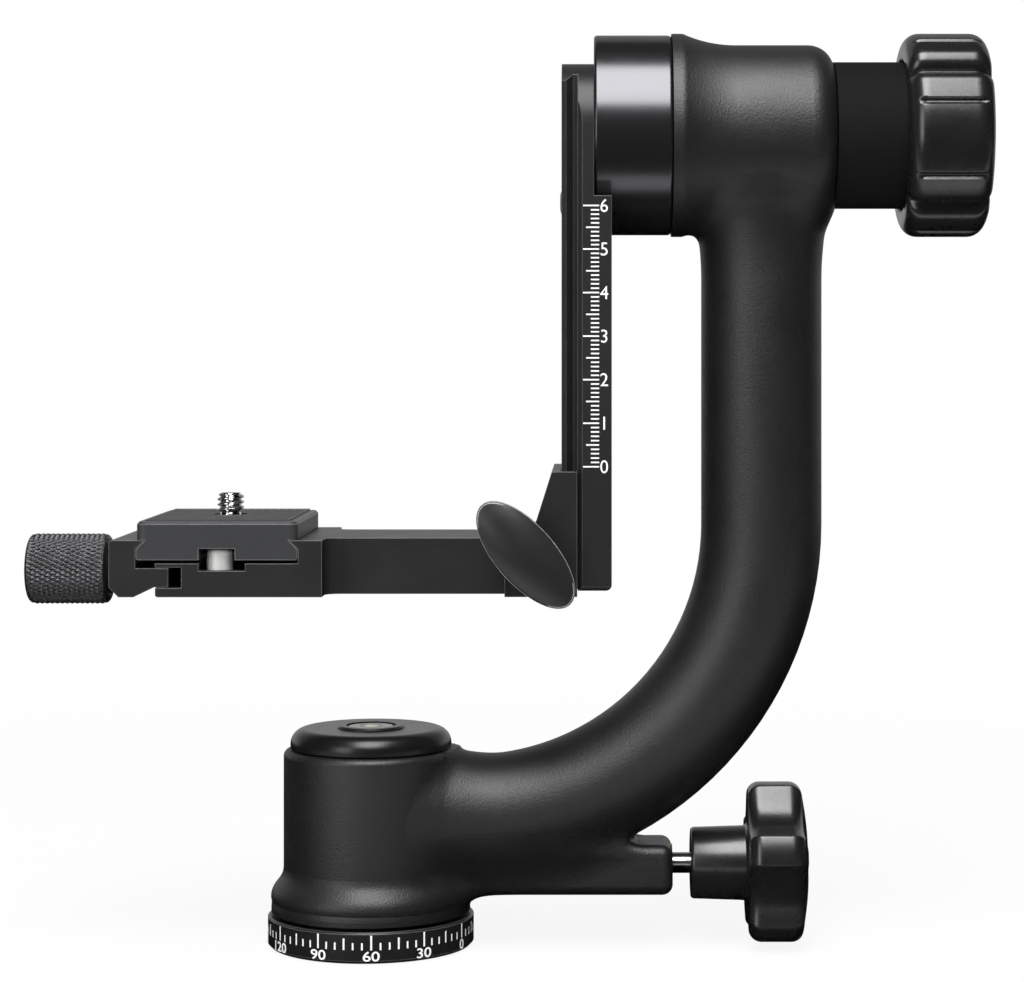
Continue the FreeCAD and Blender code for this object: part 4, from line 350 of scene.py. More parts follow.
# %% Assign finishes
FINISHES = [
    (powder_coat, "arm_casting"),
    (disc_black, "graduated_base"),
    (machined_black, "platform_bar rail_jaw clamp_jaw"),
    (rail_black, "swing_rail"),
    (plate_black, "quick_plate"),
    (drum_gloss, "tilt_drum"),
    (collar_matt, "tilt_collar"),
    (cap_gloss, "base_cap"),
    (bezel_black, "level_bezel"),
    (vial_glass, "level_vial"),
    (knob_plastic, "pan_lock_knob tilt_knob"),
    (paddle_black, "clamp_paddle"),
    (knurl_metal, "clamp_knob"),
    (pad_rubber, "plate_pad"),
    (screw_black, "rail_screws rail_stop_screws collar_screws drum_screws spindle_screws"),
    (shaft_steel, "pan_lock_shaft"),
    (axle_steel, "tilt_axle axle_washer axle_nut tilt_lock_screw"),
    (spindle_steel, "pan_spindle retaining_washer retaining_screw thread_bushing"),
    (clamp_steel, "clamp_screw paddle_screw guide_pins pin_plug pin_spring"),
    (pin_painted_sheen, "stop_pin"),
    (screw_chrome, "camera_screw"),
    (bush_bronze, "pan_bush_lower pan_bush_upper tilt_bush_left tilt_bush_right pan_lock_insert"),
    (washer_dark, "thrust_washer friction_washer"),
    (pad_nylon, "pan_brake_pad tilt_brake_pad"),
]
for material, names in FINISHES:
    for name in names.split():
        for slot in nodes[name].material_slots:
            slot.link = "OBJECT"
            slot.material = material
finished = {name for material, names in FINISHES for name in names.split()}
print("nodes without a finish:", sorted(set(nodes) - finished))

# %% [markdown]
# ## Making a piece from a grid
#
# Most new pieces are one surface: rows of points along a profile, and columns round an axis or
# across a face. Working on whole arrays of points keeps the formula of the shape in one line.
# One helper turns the grid into quads and another makes the object, merges the points of seams
# and poles, turns all faces outwards and hands the piece to its body and its material slot.

# %% Piece helpers
def grid_faces(rows, columns, closed=True):
    """Quads between the neighbours of a grid that is counted row by row, closed round its columns."""
    row = np.arange(rows - 1)[:, None]
    column = np.arange(columns if closed else columns - 1)[None, :]
    following = (column + 1) % columns
    corners = (row * columns + column, row * columns + following,
               (row + 1) * columns + following, (row + 1) * columns + column)
    return np.stack(corners, axis=-1).reshape(-1, 4)


def add_object(name, data):
    """An object with this data, a mesh, a curve or a lamp, in the scene."""
    made = bpy.data.objects.new(name, data)
    bpy.context.scene.collection.objects.link(made)
    return made


def make_piece(name, points, faces, material, body, slot, replaced=(), crease=40.0):
    """A piece from points in mm and faces: merged, turned outwards and given to its CAD body."""
    mesh = bpy.data.meshes.new(name)
    mesh.from_pydata((np.asarray(points).reshape(-1, 3) * MM).tolist(), [], np.asarray(faces).tolist())
    work = bmesh.new()
    work.from_mesh(mesh)
    bmesh.ops.remove_doubles(work, verts=work.verts, dist=0.001 * MM)
    bmesh.ops.recalc_face_normals(work, faces=work.faces)
    work.to_mesh(mesh)
    work.free()
    mesh.shade_smooth()
    mesh.set_sharp_from_angle(angle=math.radians(crease))
    mesh.materials.append(material)
    made = add_object(name, mesh)
    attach(made, body)
    if replaced:
        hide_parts(*replaced)
    print(name, "faces", len(mesh.polygons))
    return made


def make_turned(name, rows, *settings, **crease):
    """A piece whose rows of points go round an axis."""
    return make_piece(name, rows, grid_faces(*rows.shape[:2]), *settings, **crease)


def round_x(along_axis, radius, turn, height):
    """Points of a surface round an axis along X at this height: X, then radius times cosine and sine."""
    x, radius, turn = np.broadcast_arrays(along_axis, radius, turn)
    return np.stack([x, radius * np.sin(turn), height + radius * np.cos(turn)], axis=-1)


def round_z(centre_x, along_axis, radius, turn):
    """Points of a surface round an upright axis: radius times cosine and sine, then the height."""
    z, radius, turn = np.broadcast_arrays(along_axis, radius, turn)
    return np.stack([centre_x + radius * np.cos(turn), radius * np.sin(turn), z], axis=-1)


def circles_x(profile, turn, height):
    """Circles round an axis along X, one row for each place and radius of the profile."""
    places, radii = np.array(profile, float).T[:, :, None]
    return round_x(places, radii, turn, height)


def circles_z(profile, turn, centre_x=0.0):
    """Circles round an upright axis, one row for each height and radius of the profile."""
    heights, radii = np.array(profile, float).T[:, :, None]
    return round_z(centre_x, heights, radii, turn)


def full_turn(count):
    """Angles of a full turn in a row, without the last one that would meet the first."""
    return np.linspace(0.0, 2.0 * math.pi, count, endpoint=False)[None, :]


def triangle_wave(phase):
    """A wave that rises and falls in straight lines, 0 at whole numbers and 1 halfway between."""
    return 1.0 - np.abs(2.0 * (phase - np.floor(phase)) - 1.0)


# %% [markdown]
# ## Knurled knob
#
# The knob that closes the clamp is rolled between two wheels with slanted ridges. The two sets
# of grooves cross and leave rows of small pyramids for the fingers. A texture could fake it,
# but its outline shows against the white, so here every pyramid is real: the radius drops by
# the deeper of two triangle waves, one slanting left and one slanting right.

# %% Knurled knob
KNOB_LEFT, KNOB_RIGHT, KNOB_RADIUS, KNOB_ROUND = -81.2, -61.9, 8.4, 1.7
KNOB_NECK, KNOB_SEAT, KNOB_BORE, KNOB_BORE_END = 5.6, -58.15, 2.5, -75.0
RIDGES, ROW_COUNT, KNURL_DEPTH, KNURL_FADE = 46, 15, 0.5, 0.7


def quarter_round(distance, radius):
    """How far a quarter circle of this radius drops at this distance from the side it eases."""
    inside = np.clip(radius - distance, 0.0, radius)
    return radius - np.sqrt(radius * radius - inside * inside)


def rounded_stations(start, end, radius, count):
    """Places along an axis: close together on the two quarter rounds and even between them."""
    ease = radius * (1.0 - np.cos(np.linspace(0.0, math.pi / 2, 9)))
    between = np.linspace(start + radius, end - radius, count)
    return np.concatenate([start + ease[:-1], between, (end - ease[:-1])[::-1]])


def knurled_surface():
    """Radius of the knob: R minus depth times (1 minus the lower of two slanted triangle waves)."""
    x = rounded_stations(KNOB_LEFT, KNOB_RIGHT, KNOB_ROUND, ROW_COUNT * 7)[:, None]
    turn = full_turn(RIDGES * 8)
    from_end = np.minimum(x - KNOB_LEFT, KNOB_RIGHT - x)
    share = (x - KNOB_LEFT - KNURL_FADE) / (KNOB_RIGHT - KNOB_LEFT - 2.0 * KNURL_FADE) * ROW_COUNT
    slant = RIDGES * turn / (2.0 * math.pi)
    pyramid = np.minimum(triangle_wave(slant + share / 2.0), triangle_wave(slant - share / 2.0))
    depth = KNURL_DEPTH * np.clip((from_end - KNURL_FADE) * 2.0, 0.0, 1.0)
    radius = KNOB_RADIUS - 0.02 - quarter_round(from_end, KNOB_ROUND) - depth * (1.0 - pyramid)
    knurl = round_x(x, radius, turn, CLAMP[2])
    outer = [(KNOB_LEFT, 0.0), (KNOB_LEFT, 4.6), (KNOB_LEFT + 0.35, 4.9), (KNOB_LEFT + 0.35, 5.4),
             (KNOB_LEFT, 5.7)]
    inner = [(KNOB_RIGHT, KNOB_NECK + 0.4), (KNOB_RIGHT + 0.4, KNOB_NECK),
             (KNOB_SEAT - 0.3, KNOB_NECK), (KNOB_SEAT, KNOB_NECK - 0.3), (KNOB_SEAT, KNOB_BORE),
             (KNOB_BORE_END, KNOB_BORE), (KNOB_BORE_END, 0.0)]
    return np.concatenate([circles_x(outer, turn, CLAMP[2]), knurl, circles_x(inner, turn, CLAMP[2])])


make_turned("knurled_knob", knurled_surface(), knurl_metal, "clamp_knob", "black_anodised",
            ["clamp_knob"], crease=28.0)

# %% [markdown]
# ## Tilt knob
#
# The knob beside the hub is moulded with four swollen lobes. Deep creases part them, each lobe
# has a pair of fine grooves for the grip, and both ends are well rounded. Its surface is a
# radius over the angle and the place along the axis: the full radius minus the rounding of the
# ends, minus the round shoulders of the nearest crease, minus the grooves where they run. It
# stands turned by a few degrees, as the hand left it.

# %% Tilt knob
TILT_KNOB_LEFT, TILT_KNOB_RIGHT, TILT_KNOB_RADIUS, TILT_KNOB_ROUND = 126.0, 145.7, 24.1, 3.9
TILT_KNOB_TURN = math.radians(-96.0)
CREASE_SHOULDER, CREASE_DEPTH = 5.0, 2.9
GROOVE_ANGLE, GROOVE_HALF, GROOVE_DEPTH = math.radians(21.2), 0.85, 0.75
GROOVE_LEFT, GROOVE_RIGHT = 128.2, 143.6
RECESS_RADIUS, RECESS_FLOOR, STUD_RADIUS, STUD_END, DISH_RADIUS = 18.0, 131.5, 5.0, 141.0, 15.5


def lobed_radius(x, turn):
    """Radius of the knob: full radius minus rounded ends, crease shoulders and grooves."""
    from_lobe = np.mod(turn - TILT_KNOB_TURN + math.pi / 4, math.pi / 2) - math.pi / 4
    to_crease = TILT_KNOB_RADIUS * (math.pi / 4 - np.abs(from_lobe))
    crease = np.minimum(quarter_round(to_crease, CREASE_SHOULDER), CREASE_DEPTH)
    to_groove = TILT_KNOB_RADIUS * np.abs(np.abs(from_lobe) - GROOVE_ANGLE)
    runs = np.clip(np.minimum(x - GROOVE_LEFT, GROOVE_RIGHT - x) / 0.6, 0.0, 1.0)
    groove = GROOVE_DEPTH * np.clip(1.0 - (to_groove / GROOVE_HALF) ** 2, 0.0, 1.0) * runs
    return TILT_KNOB_RADIUS - crease - groove


def lobed_knob():
    """Rows round the axis: stud hole, recess, near end, body with rounded ends, dished far end."""
    turn = full_turn(640)
    x = rounded_stations(TILT_KNOB_LEFT, TILT_KNOB_RIGHT, TILT_KNOB_ROUND, 19)[:, None]
    drop = quarter_round(np.minimum(x - TILT_KNOB_LEFT, TILT_KNOB_RIGHT - x), TILT_KNOB_ROUND)
    body = round_x(x, lobed_radius(x, turn) - drop, turn, TILT[2])
    near = [(STUD_END, 0.0), (STUD_END, STUD_RADIUS), (RECESS_FLOOR, STUD_RADIUS),
            (RECESS_FLOOR, RECESS_RADIUS), (TILT_KNOB_LEFT + 0.4, RECESS_RADIUS),
            (TILT_KNOB_LEFT, RECESS_RADIUS + 0.4)]
    far = [(TILT_KNOB_RIGHT, DISH_RADIUS + 0.5), (TILT_KNOB_RIGHT - 0.15, DISH_RADIUS + 0.1),
           (TILT_KNOB_RIGHT - 0.6, DISH_RADIUS - 0.3), (TILT_KNOB_RIGHT - 0.6, 9.0),
           (TILT_KNOB_RIGHT - 0.3, 4.0), (TILT_KNOB_RIGHT - 0.2, 0.0)]
    return np.concatenate([circles_x(near, turn, TILT[2]), body, circles_x(far, turn, TILT[2])])


make_turned("lobed_tilt_knob", lobed_knob(), knob_plastic, "tilt_lock", "knob_plastic",
            ["tilt_knob"], crease=38.0)

# %% [markdown]
# ## Lock knob
#
# The pan lock has a star knob with five narrow lobes and wide hollows for the fingers, on a
# slightly tapered hub. Seen along its axis a hollow is an arc of a circle whose centre lies
# outside the knob, so the radius at an angle is where a ray from the axis meets that circle. The
# soft lower of that radius and the full one rounds the corners of the lobes. The far end is
# domed: the rows come forward by 1 minus the square of their share of the radius.

# %% Lock knob
LOCK_START, LOCK_HUB_END, LOCK_RIM_END, LOCK_END, LOCK_RADIUS = 76.0, 89.4, 102.4, 104.0, 19.1
HOLLOW_RADIUS, HOLLOW_CIRCLE, HOLLOW_TURN = 11.5, 26.2, math.radians(-35.7)
LOBE_SOFTNESS, LOCK_ROUND = 3.2, 3.0
LOCK_BORE, LOCK_BORE_END = 2.45, 98.4


def soft_lower(first, second, width):
    """The lower of two values, less width over 4 where both are equal, fading out over the width."""
    near = np.clip(width - np.abs(first - second), 0.0, None) / np.maximum(width, 1e-6)
    return np.minimum(first, second) - near * near * width / 4.0


def star_radius(turn):
    """Soft lower of R and C cos a - sqrt(r^2 - C^2 sin^2 a), with a from the hollow's middle."""
    angle = np.mod(turn - HOLLOW_TURN + math.pi / 5, 2.0 * math.pi / 5) - math.pi / 5
    under_root = HOLLOW_RADIUS ** 2 - (HOLLOW_CIRCLE * np.sin(angle)) ** 2
    to_hollow = HOLLOW_CIRCLE * np.cos(angle) - np.sqrt(np.maximum(under_root, 0.0))
    return soft_lower(LOCK_RADIUS, np.where(under_root > 0.0, to_hollow, 2.0 * LOCK_RADIUS), LOBE_SOFTNESS)


def star_knob():
    """Rows round the axis: shaft hole, tapered hub, near face, rounded rim and domed far end."""
    turn = full_turn(600)
    star = star_radius(turn)
    x = rounded_stations(LOCK_HUB_END, LOCK_RIM_END, LOCK_ROUND, 12)[:, None]
    drop = quarter_round(np.minimum(x - LOCK_HUB_END, LOCK_RIM_END - x), LOCK_ROUND)
    share = np.linspace(1.0, 0.0, 12)[1:, None]
    dome = LOCK_RIM_END + (LOCK_END - LOCK_RIM_END) * (1.0 - share ** 2)
    near = [(LOCK_BORE_END, 0.0), (LOCK_BORE_END, LOCK_BORE), (LOCK_START, LOCK_BORE), (LOCK_START, 7.9),
            (LOCK_START + 0.2, 8.2), (LOCK_START + 0.7, 8.4), (LOCK_HUB_END - 1.6, 8.75),
            (LOCK_HUB_END - 0.6, 8.85), (LOCK_HUB_END - 0.15, 9.3), (LOCK_HUB_END, 9.9)]
    return np.concatenate([circles_x(near, turn, LOCK[2]), round_x(x, star - drop, turn, LOCK[2]),
                           round_x(dome, (star - LOCK_ROUND) * share, turn, LOCK[2])])


make_turned("star_lock_knob", star_knob(), knob_plastic, "pan_lock", "knob_plastic",
            ["pan_lock_knob"], crease=38.0)

# %% [markdown]
# ## Crowned paddle
#
# The wing that closes the rail clamp is a thumb sized oval, a little crowned so that it does not
# cut into the finger. Every row is an oval at a depth, from the bore and the hub over the flat
# back to the rim. The face then comes forward by 1 minus the square of its share of the oval. A
# flat face would mirror one tone only, and the crown gives its slow change from light to dark.

# %% Crowned paddle
WING_X, WING_Z, WING_MAJOR, WING_MINOR, WING_LEAN = 37.5, 94.3, 15.1, 6.75, math.radians(48.5)
HUB_START, WING_BACK, WING_RIM, WING_FRONT, WING_CHAMFER = -24.55, -29.05, -31.9, -33.55, 0.35
STUD_BORE, WING_HUB = 3.0, 5.5


def oval(depth, major, minor, turn):
    """Points of an oval at a depth: centre plus cosine times the long axis plus sine times the short one."""
    along, across = major * np.cos(turn), minor * np.sin(turn)
    return np.stack([WING_X + along * math.cos(WING_LEAN) + across * math.sin(WING_LEAN), depth + 0.0 * along,
                     WING_Z - along * math.sin(WING_LEAN) + across * math.cos(WING_LEAN)], axis=-1)


turn = full_turn(320)
profile = np.array([
    (WING_BACK, 0.0, 0.0), (WING_BACK, STUD_BORE, STUD_BORE), (HUB_START, STUD_BORE, STUD_BORE),
    (HUB_START, WING_HUB - 0.3, WING_HUB - 0.3), (HUB_START - 0.3, WING_HUB, WING_HUB),
    (WING_BACK, WING_HUB, WING_HUB), (WING_BACK, WING_MAJOR - 0.3, WING_MINOR - 0.3),
    (WING_BACK - 0.3, WING_MAJOR, WING_MINOR), (WING_RIM + WING_CHAMFER, WING_MAJOR, WING_MINOR),
    (WING_RIM, WING_MAJOR - WING_CHAMFER, WING_MINOR - WING_CHAMFER)])
share = np.linspace(1.0, 0.0, 20)[1:]
crown = np.stack([WING_RIM + (WING_FRONT - WING_RIM) * (1.0 - share ** 2),
                  (WING_MAJOR - WING_CHAMFER) * share, (WING_MINOR - WING_CHAMFER) * share], axis=-1)
depth, major, minor = np.concatenate([profile, crown]).T[:, :, None]
make_turned("crowned_paddle", oval(depth, major, minor, turn), paddle_black, "paddle",
            "black_anodised", ["clamp_paddle"], crease=28.0)

# %% [markdown]
# ## Stop screws
#
# A screw near each end of the rail's back stops the platform. Its head is low and domed, with a
# hexagon for the key. The rows are circles, and the hexagon is a radius that grows from its
# flats by 1 over the cosine of the angle.

# %% Stop screws
STOP_HEIGHTS, STOP_SEAT, STOP_END = (89.0, 175.95), 45.5, 50.5
STOP_SHANK, STOP_HEAD, STOP_RISE = 1.5, 2.75, 0.5


def stop_screw(height):
    """Rows round the screw's axis: end, shank, seat, domed head and hexagon with its floor."""
    turn = full_turn(72)
    from_flat = np.mod(turn + math.pi / 6, math.pi / 3) - math.pi / 6
    dome = np.linspace(0.0, 1.0, 6)[:-1]
    profile = [(STOP_END, 0.0), (STOP_END, STOP_SHANK - 0.2), (STOP_END - 0.2, STOP_SHANK),
               (STOP_SEAT, STOP_SHANK), (STOP_SEAT, STOP_HEAD), (STOP_SEAT - 0.2, STOP_HEAD)]
    profile += [(STOP_SEAT - 0.2 - (STOP_RISE - 0.2) * math.sin(part * math.pi / 2),
                 STOP_HEAD - (STOP_HEAD - 1.5) * part) for part in dome[1:]]
    depth = np.array([STOP_SEAT - STOP_RISE, STOP_SEAT + 0.3])[:, None]
    hexagon = round_x(depth, 1.0 / np.cos(from_flat), turn, height)
    floor = circles_x([(STOP_SEAT + 0.3, 0.0)], turn, height)
    return np.concatenate([circles_x(profile, turn, height), hexagon, floor])


screws = np.stack([stop_screw(height) for height in STOP_HEIGHTS])
quads = grid_faces(*screws.shape[1:3])
both = np.concatenate([quads, quads + screws.shape[1] * screws.shape[2]])
make_piece("domed_stop_screws", screws, both, screw_black, "swing", "black_steel",
           ["rail_stop_screws"], crease=30.0)

# %% [markdown]
# ## Rubber pad
#
# The pad on the plate keeps a lens foot from turning. Its top is moulded in fine diamonds. The
# face is a height over a grid: a flat rim, and inside it the lower of two triangle waves along
# the two diagonals. Its sides go straight down, and a round hole lets the camera screw through.

# %% Rubber pad
PAD_LEFT, PAD_RIGHT, PAD_HALF = -49.9, -16.9, 23.0
PAD_LOW, PAD_TOP, PAD_RIM = 100.7, 101.9, 0.5
DIAMOND, DIAMOND_DEPTH = 1.9, 0.5
PLATE_MIDDLE, PAD_HOLE = -33.4, 3.975


def ribbed_face():
    """Height of the pad: top minus depth times (1 minus the lower of two diagonal triangle waves)."""
    x = np.linspace(PAD_LEFT, PAD_RIGHT, 177)[:, None]
    y = np.linspace(-PAD_HALF, PAD_HALF, 247)[None, :]
    diamond = np.minimum(triangle_wave((x - PLATE_MIDDLE + y) / DIAMOND),
                         triangle_wave((x - PLATE_MIDDLE - y) / DIAMOND))
    rim = np.minimum(np.minimum(x - PAD_LEFT, PAD_RIGHT - x), PAD_HALF - np.abs(y)) > PAD_RIM
    hole = np.hypot(x - PLATE_MIDDLE, y) - PAD_HOLE
    depth = np.where(rim & (hole > 0.5), DIAMOND_DEPTH * (1.0 - diamond), 0.0)
    x, y = np.broadcast_arrays(x, y)
    pull = np.where(np.abs(hole) < 0.14, hole, 0.0) / np.maximum(hole + PAD_HOLE, 0.1)
    face = np.stack([x - (x - PLATE_MIDDLE) * pull, y - y * pull, PAD_TOP - depth], axis=-1)
    return face, hole < -0.14


face, inside = ribbed_face()
rows, columns = inside.shape
quads = grid_faces(rows, columns, closed=False)
quads = quads[~inside.reshape(-1)[quads].any(axis=1)]
border = np.concatenate([face[:-1, 0], face[-1, :-1], face[:0:-1, -1], face[0, :0:-1]])
skirt = np.stack([border, border - (0.0, 0.0, PAD_TOP - PAD_LOW)])
skirt_quads = grid_faces(2, len(border)) + face.shape[0] * face.shape[1]
make_piece("ribbed_pad", np.concatenate([face.reshape(-1, 3), skirt.reshape(-1, 3)]),
           np.concatenate([quads, skirt_quads]), pad_rubber, "plate", "rubber_pad", ["plate_pad"],
           crease=25.0)

# %% [markdown]
# ## Threads
#
# A thread is a profile that climbs as it goes round: the radius depends on the height minus
# the pitch times the share of a turn. The camera screw has the 1/4 inch thread with 20 turns
# per inch, the bushing under the base the 3/8 inch thread with 16. The same function makes
# the outside thread of the one and the inside thread of the other.

# %% Camera screw
def thread_radius(height, turn, root, crest, pitch):
    """Root plus the thread's depth times a blunted triangle wave of height over pitch minus turns."""
    wave = triangle_wave(height / pitch - turn / (2.0 * math.pi))
    return root + (crest - root) * np.clip(wave * 1.5 - 0.2, 0.0, 1.0)


SCREW_LOW, SCREW_CEILING, SCREW_HEAD, SCREW_NECK = 93.05, 95.25, 4.0, 2.5
THREAD_LOW, THREAD_HIGH, THREAD_CREST, THREAD_ROOT, THREAD_PITCH = 102.4, 107.0, 3.175, 2.5, 1.27

turn = full_turn(96)
height = np.linspace(THREAD_LOW, THREAD_HIGH, 75)[:, None]
fade = np.clip(np.minimum((height - THREAD_LOW) * 2.0, (THREAD_HIGH - height) * 1.6), 0.0, 1.0)
thread = THREAD_ROOT - 0.25 + (thread_radius(height, turn, THREAD_ROOT, THREAD_CREST, THREAD_PITCH)
                               - THREAD_ROOT + 0.25) * fade
below = [(SCREW_LOW, 0.0), (SCREW_LOW, SCREW_HEAD - 0.3), (SCREW_LOW + 0.3, SCREW_HEAD),
         (SCREW_CEILING - 0.2, SCREW_HEAD), (SCREW_CEILING, SCREW_HEAD - 0.2), (SCREW_CEILING, SCREW_NECK),
         (THREAD_LOW - 0.4, SCREW_NECK)]
points = np.concatenate([circles_z(below, turn, PLATE_MIDDLE), round_z(PLATE_MIDDLE, height, thread, turn),
                         circles_z([(THREAD_HIGH, 0.0)], turn, PLATE_MIDDLE)])
make_turned("threaded_camera_screw", points, screw_chrome, "camera_screw", "chrome",
            ["camera_screw"], crease=50.0)

# %% Tripod bushing
BUSHING_RADIUS, BUSHING_DEPTH, BUSHING_BORE, TRIPOD_ROOT, TRIPOD_PITCH = 7.0, 12.6, 3.97, 4.76, 1.5875

height = np.linspace(0.8, BUSHING_DEPTH - 0.4, 130)[:, None]
bore = thread_radius(height, turn, TRIPOD_ROOT, BUSHING_BORE, TRIPOD_PITCH)
profile_low = [(BUSHING_DEPTH, BUSHING_BORE), (BUSHING_DEPTH, BUSHING_RADIUS), (0.3, BUSHING_RADIUS),
               (0.0, BUSHING_RADIUS - 0.3), (0.0, TRIPOD_ROOT + 0.8)]
points = np.concatenate([circles_z(profile_low, turn), round_z(0.0, height, bore, turn),
                         circles_z([(BUSHING_DEPTH, BUSHING_BORE)], turn)])
make_turned("threaded_bushing", points, spindle_steel, "base", "steel", ["thread_bushing"],
            crease=50.0)

# %% [markdown]
# ## Painted scales
#
# Both scales are engraved and filled with white paint. Painted lines are far too thin to model
# as cuts in the solids, so each is a very thin plaque that stands two hundredths of a
# millimetre proud. All lines of a scale are one mesh: a box of eight points is repeated by
# adding arrays of centres and half sizes. A second function bends the flat plan onto its face.

# %% Scale helpers
PROUD, SUNK = 0.02, 0.04


def line_boxes(centre_u, centre_v, half_u, half_v):
    """Boxes on a flat plan, one per line: corner signs times half sizes, plus the centres."""
    signs = np.array([(a, b, c) for c in (-1, 1) for b in (-1, 1) for a in (-1, 1)], float)
    centres = np.stack(np.broadcast_arrays(centre_u, centre_v, (PROUD - SUNK) / 2.0), axis=-1)
    halves = np.stack(np.broadcast_arrays(half_u, half_v, (PROUD + SUNK) / 2.0), axis=-1)
    points = centres[:, None, :] + signs[None, :, :] * halves[:, None, :]
    sides = np.array([(0, 2, 3, 1), (4, 5, 7, 6), (0, 1, 5, 4), (2, 6, 7, 3), (0, 4, 6, 2), (1, 3, 7, 5)])
    faces = sides[None] + 8 * np.arange(len(points))[:, None, None]
    return points.reshape(-1, 3), faces.reshape(-1, 4)


def figure_plan(text, height, weight, width=1.0):
    """A number's outline from the built-in font as a thin solid on a flat plan, centred, in mm."""
    curve = bpy.data.curves.new("figure", "FONT")
    curve.body = text
    curve.offset = weight
    curve.extrude = 0.5
    curve.resolution_u = 5
    holder = add_object("figure", curve)
    bpy.context.view_layer.update()
    mesh = bpy.data.meshes.new_from_object(holder.evaluated_get(bpy.context.evaluated_depsgraph_get()))
    flat = np.empty(len(mesh.vertices) * 3)
    mesh.vertices.foreach_get("co", flat)
    flat = flat.reshape(-1, 3)
    faces = [tuple(polygon.vertices) for polygon in mesh.polygons]
    bpy.data.objects.remove(holder)
    bpy.data.curves.remove(curve)
    bpy.data.meshes.remove(mesh)
    low, high = flat.min(axis=0), flat.max(axis=0)
    scale = height / (high[1] - low[1])
    flat = (flat - (low + high) / 2.0) * (scale * width, scale, PROUD + SUNK)
    return flat + (0.0, 0.0, (PROUD - SUNK) / 2.0), faces


def make_scale(name, lines, figures, place, body):
    """One painted scale: its lines and its figures on the flat plan, put in place and made a piece."""
    points, faces = line_boxes(*lines)
    all_points, all_faces, count = [points], [tuple(face) for face in faces.tolist()], len(points)
    for text, u, v, height, weight, width in figures:
        flat, sides = figure_plan(text, height, weight, width)
        all_points.append(flat + (u, v, 0.0))
        all_faces += [tuple(index + count for index in side) for side in sides]
        count += len(flat)
    mesh = bpy.data.meshes.new(name)
    mesh.from_pydata((place(np.concatenate(all_points)) * MM).tolist(), [], all_faces)
    mesh.materials.append(scale_paint)
    made = add_object(name, mesh)
    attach(made, body)
    print(name, "faces", len(mesh.polygons))
    return made


# %% [markdown]
# ## Degree scale
#
# The base is engraved every five degrees, with a longer line every fifteen, the longest every
# thirty, and the number under it. The plan's width is the arc along the rim, so bending it onto
# the ring is an angle of width over radius. The 60 stands a little right of the front, and the
# numbers grow to the left.

# %% Degree scale
RING = 24.4
FRONT_VALUE = 64.6
LINE_FOOT = 3.25

value = np.arange(0, 360, 5)
arc = -np.radians(value - FRONT_VALUE) * RING
top = np.where(value % 30 == 0, 6.6, np.where(value % 15 == 0, 5.9, 4.9))
half_line = np.where(value % 15 == 0, 0.21, 0.2)
figures = [(str(number), -math.radians(number - FRONT_VALUE) * RING, 1.8, 2.3, 0.012, 1.3)
           for number in range(0, 360, 30)]


def on_ring(plan):
    """Plan to rim: the angle from the front is width over radius, the third number stands outwards."""
    angle = plan[:, 0] / RING
    radius = RING + plan[:, 2]
    return np.stack([radius * np.sin(angle), -radius * np.cos(angle), plan[:, 1]], axis=-1)


make_scale("degree_scale", (arc, (top + LINE_FOOT) / 2.0, half_line, (top - LINE_FOOT) / 2.0),
           figures, on_ring, "base")

# %% [markdown]
# ## Centimetre scale
#
# The side of the rail tells how high the platform stands. Its plan is the flat side itself:
# width runs along X, height up Z, and the plaque stands out towards the front. The millimetre
# lines are short and bold, every fifth is longer, and the centimetres have their figure at the
# right.

# %% Centimetre scale
RAIL_FACE = -23.0
SCALE_FOOT, LINE_END = 114.0, 54.2

value = np.arange(0, 61)
reach = np.where(value % 10 == 0, 3.7, np.where(value % 5 == 0, 3.0, 1.9))
figures = [(str(number), 55.35, SCALE_FOOT + 10.0 * number, 3.0, 0.0, 0.95) for number in range(7)]


def on_rail(plan):
    """Plan to the rail's side: width along X, height along Z, and proud towards the front."""
    return np.stack([plan[:, 0], RAIL_FACE - plan[:, 2], plan[:, 1]], axis=-1)


make_scale("centimetre_scale", (LINE_END - reach / 2.0, SCALE_FOOT + value, reach / 2.0, np.full(61, 0.17)),
           figures, on_rail, "swing")

# %% [markdown]
# ## Bubble and ring of the level
#
# Under the glass of the round level sits a bubble that is pressed flat at its top, and a black
# ring on the glass shows where it belongs. Both are turned shapes: a flattened ball whose
# height is less above its middle than below, and a flat ring with a square section.

# %% Level bubble and ring
VIAL_TOP = 51.5
turn = full_turn(64)
rise = np.linspace(-math.pi / 2, math.pi / 2, 25)[:, None]
lift = np.where(np.sin(rise) > 0, 0.25, 0.75) * np.sin(rise)
points = round_z(0.0, VIAL_TOP - 0.45 + lift, 1.9 * np.cos(rise), turn)
bubble_air = finish("bubble_air", (0.80, 0.95, 0.55), 0.05, grain=(2.0, 0.1), patches=(3.0, 0.01))
make_turned("level_bubble", points, bubble_air, "arm", "vial_glass")

ring_profile = np.array([(2.35, VIAL_TOP - 0.06), (2.35, VIAL_TOP + 0.02), (2.6, VIAL_TOP + 0.02),
                         (2.6, VIAL_TOP - 0.06), (2.35, VIAL_TOP - 0.06)])
points = round_z(0.0, ring_profile[:, 1:2], ring_profile[:, 0:1], turn)
make_turned("level_ring", points, bezel_black, "arm", "black_anodised")

# %% [markdown]
# ## The casting as distances
#
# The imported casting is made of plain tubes, cones and a box, and where they meet there is a crisp
# line. A real casting comes out of sand or a die, which needs soft hollows there. To soften them,
# each plain body is first written as a distance: below zero inside the body, zero on its skin.
# The lower of two distances is both bodies together, and a soft lower value rounds the hollow
# between them. Moving vertices by hand or a bevel would not follow such a long curved line.

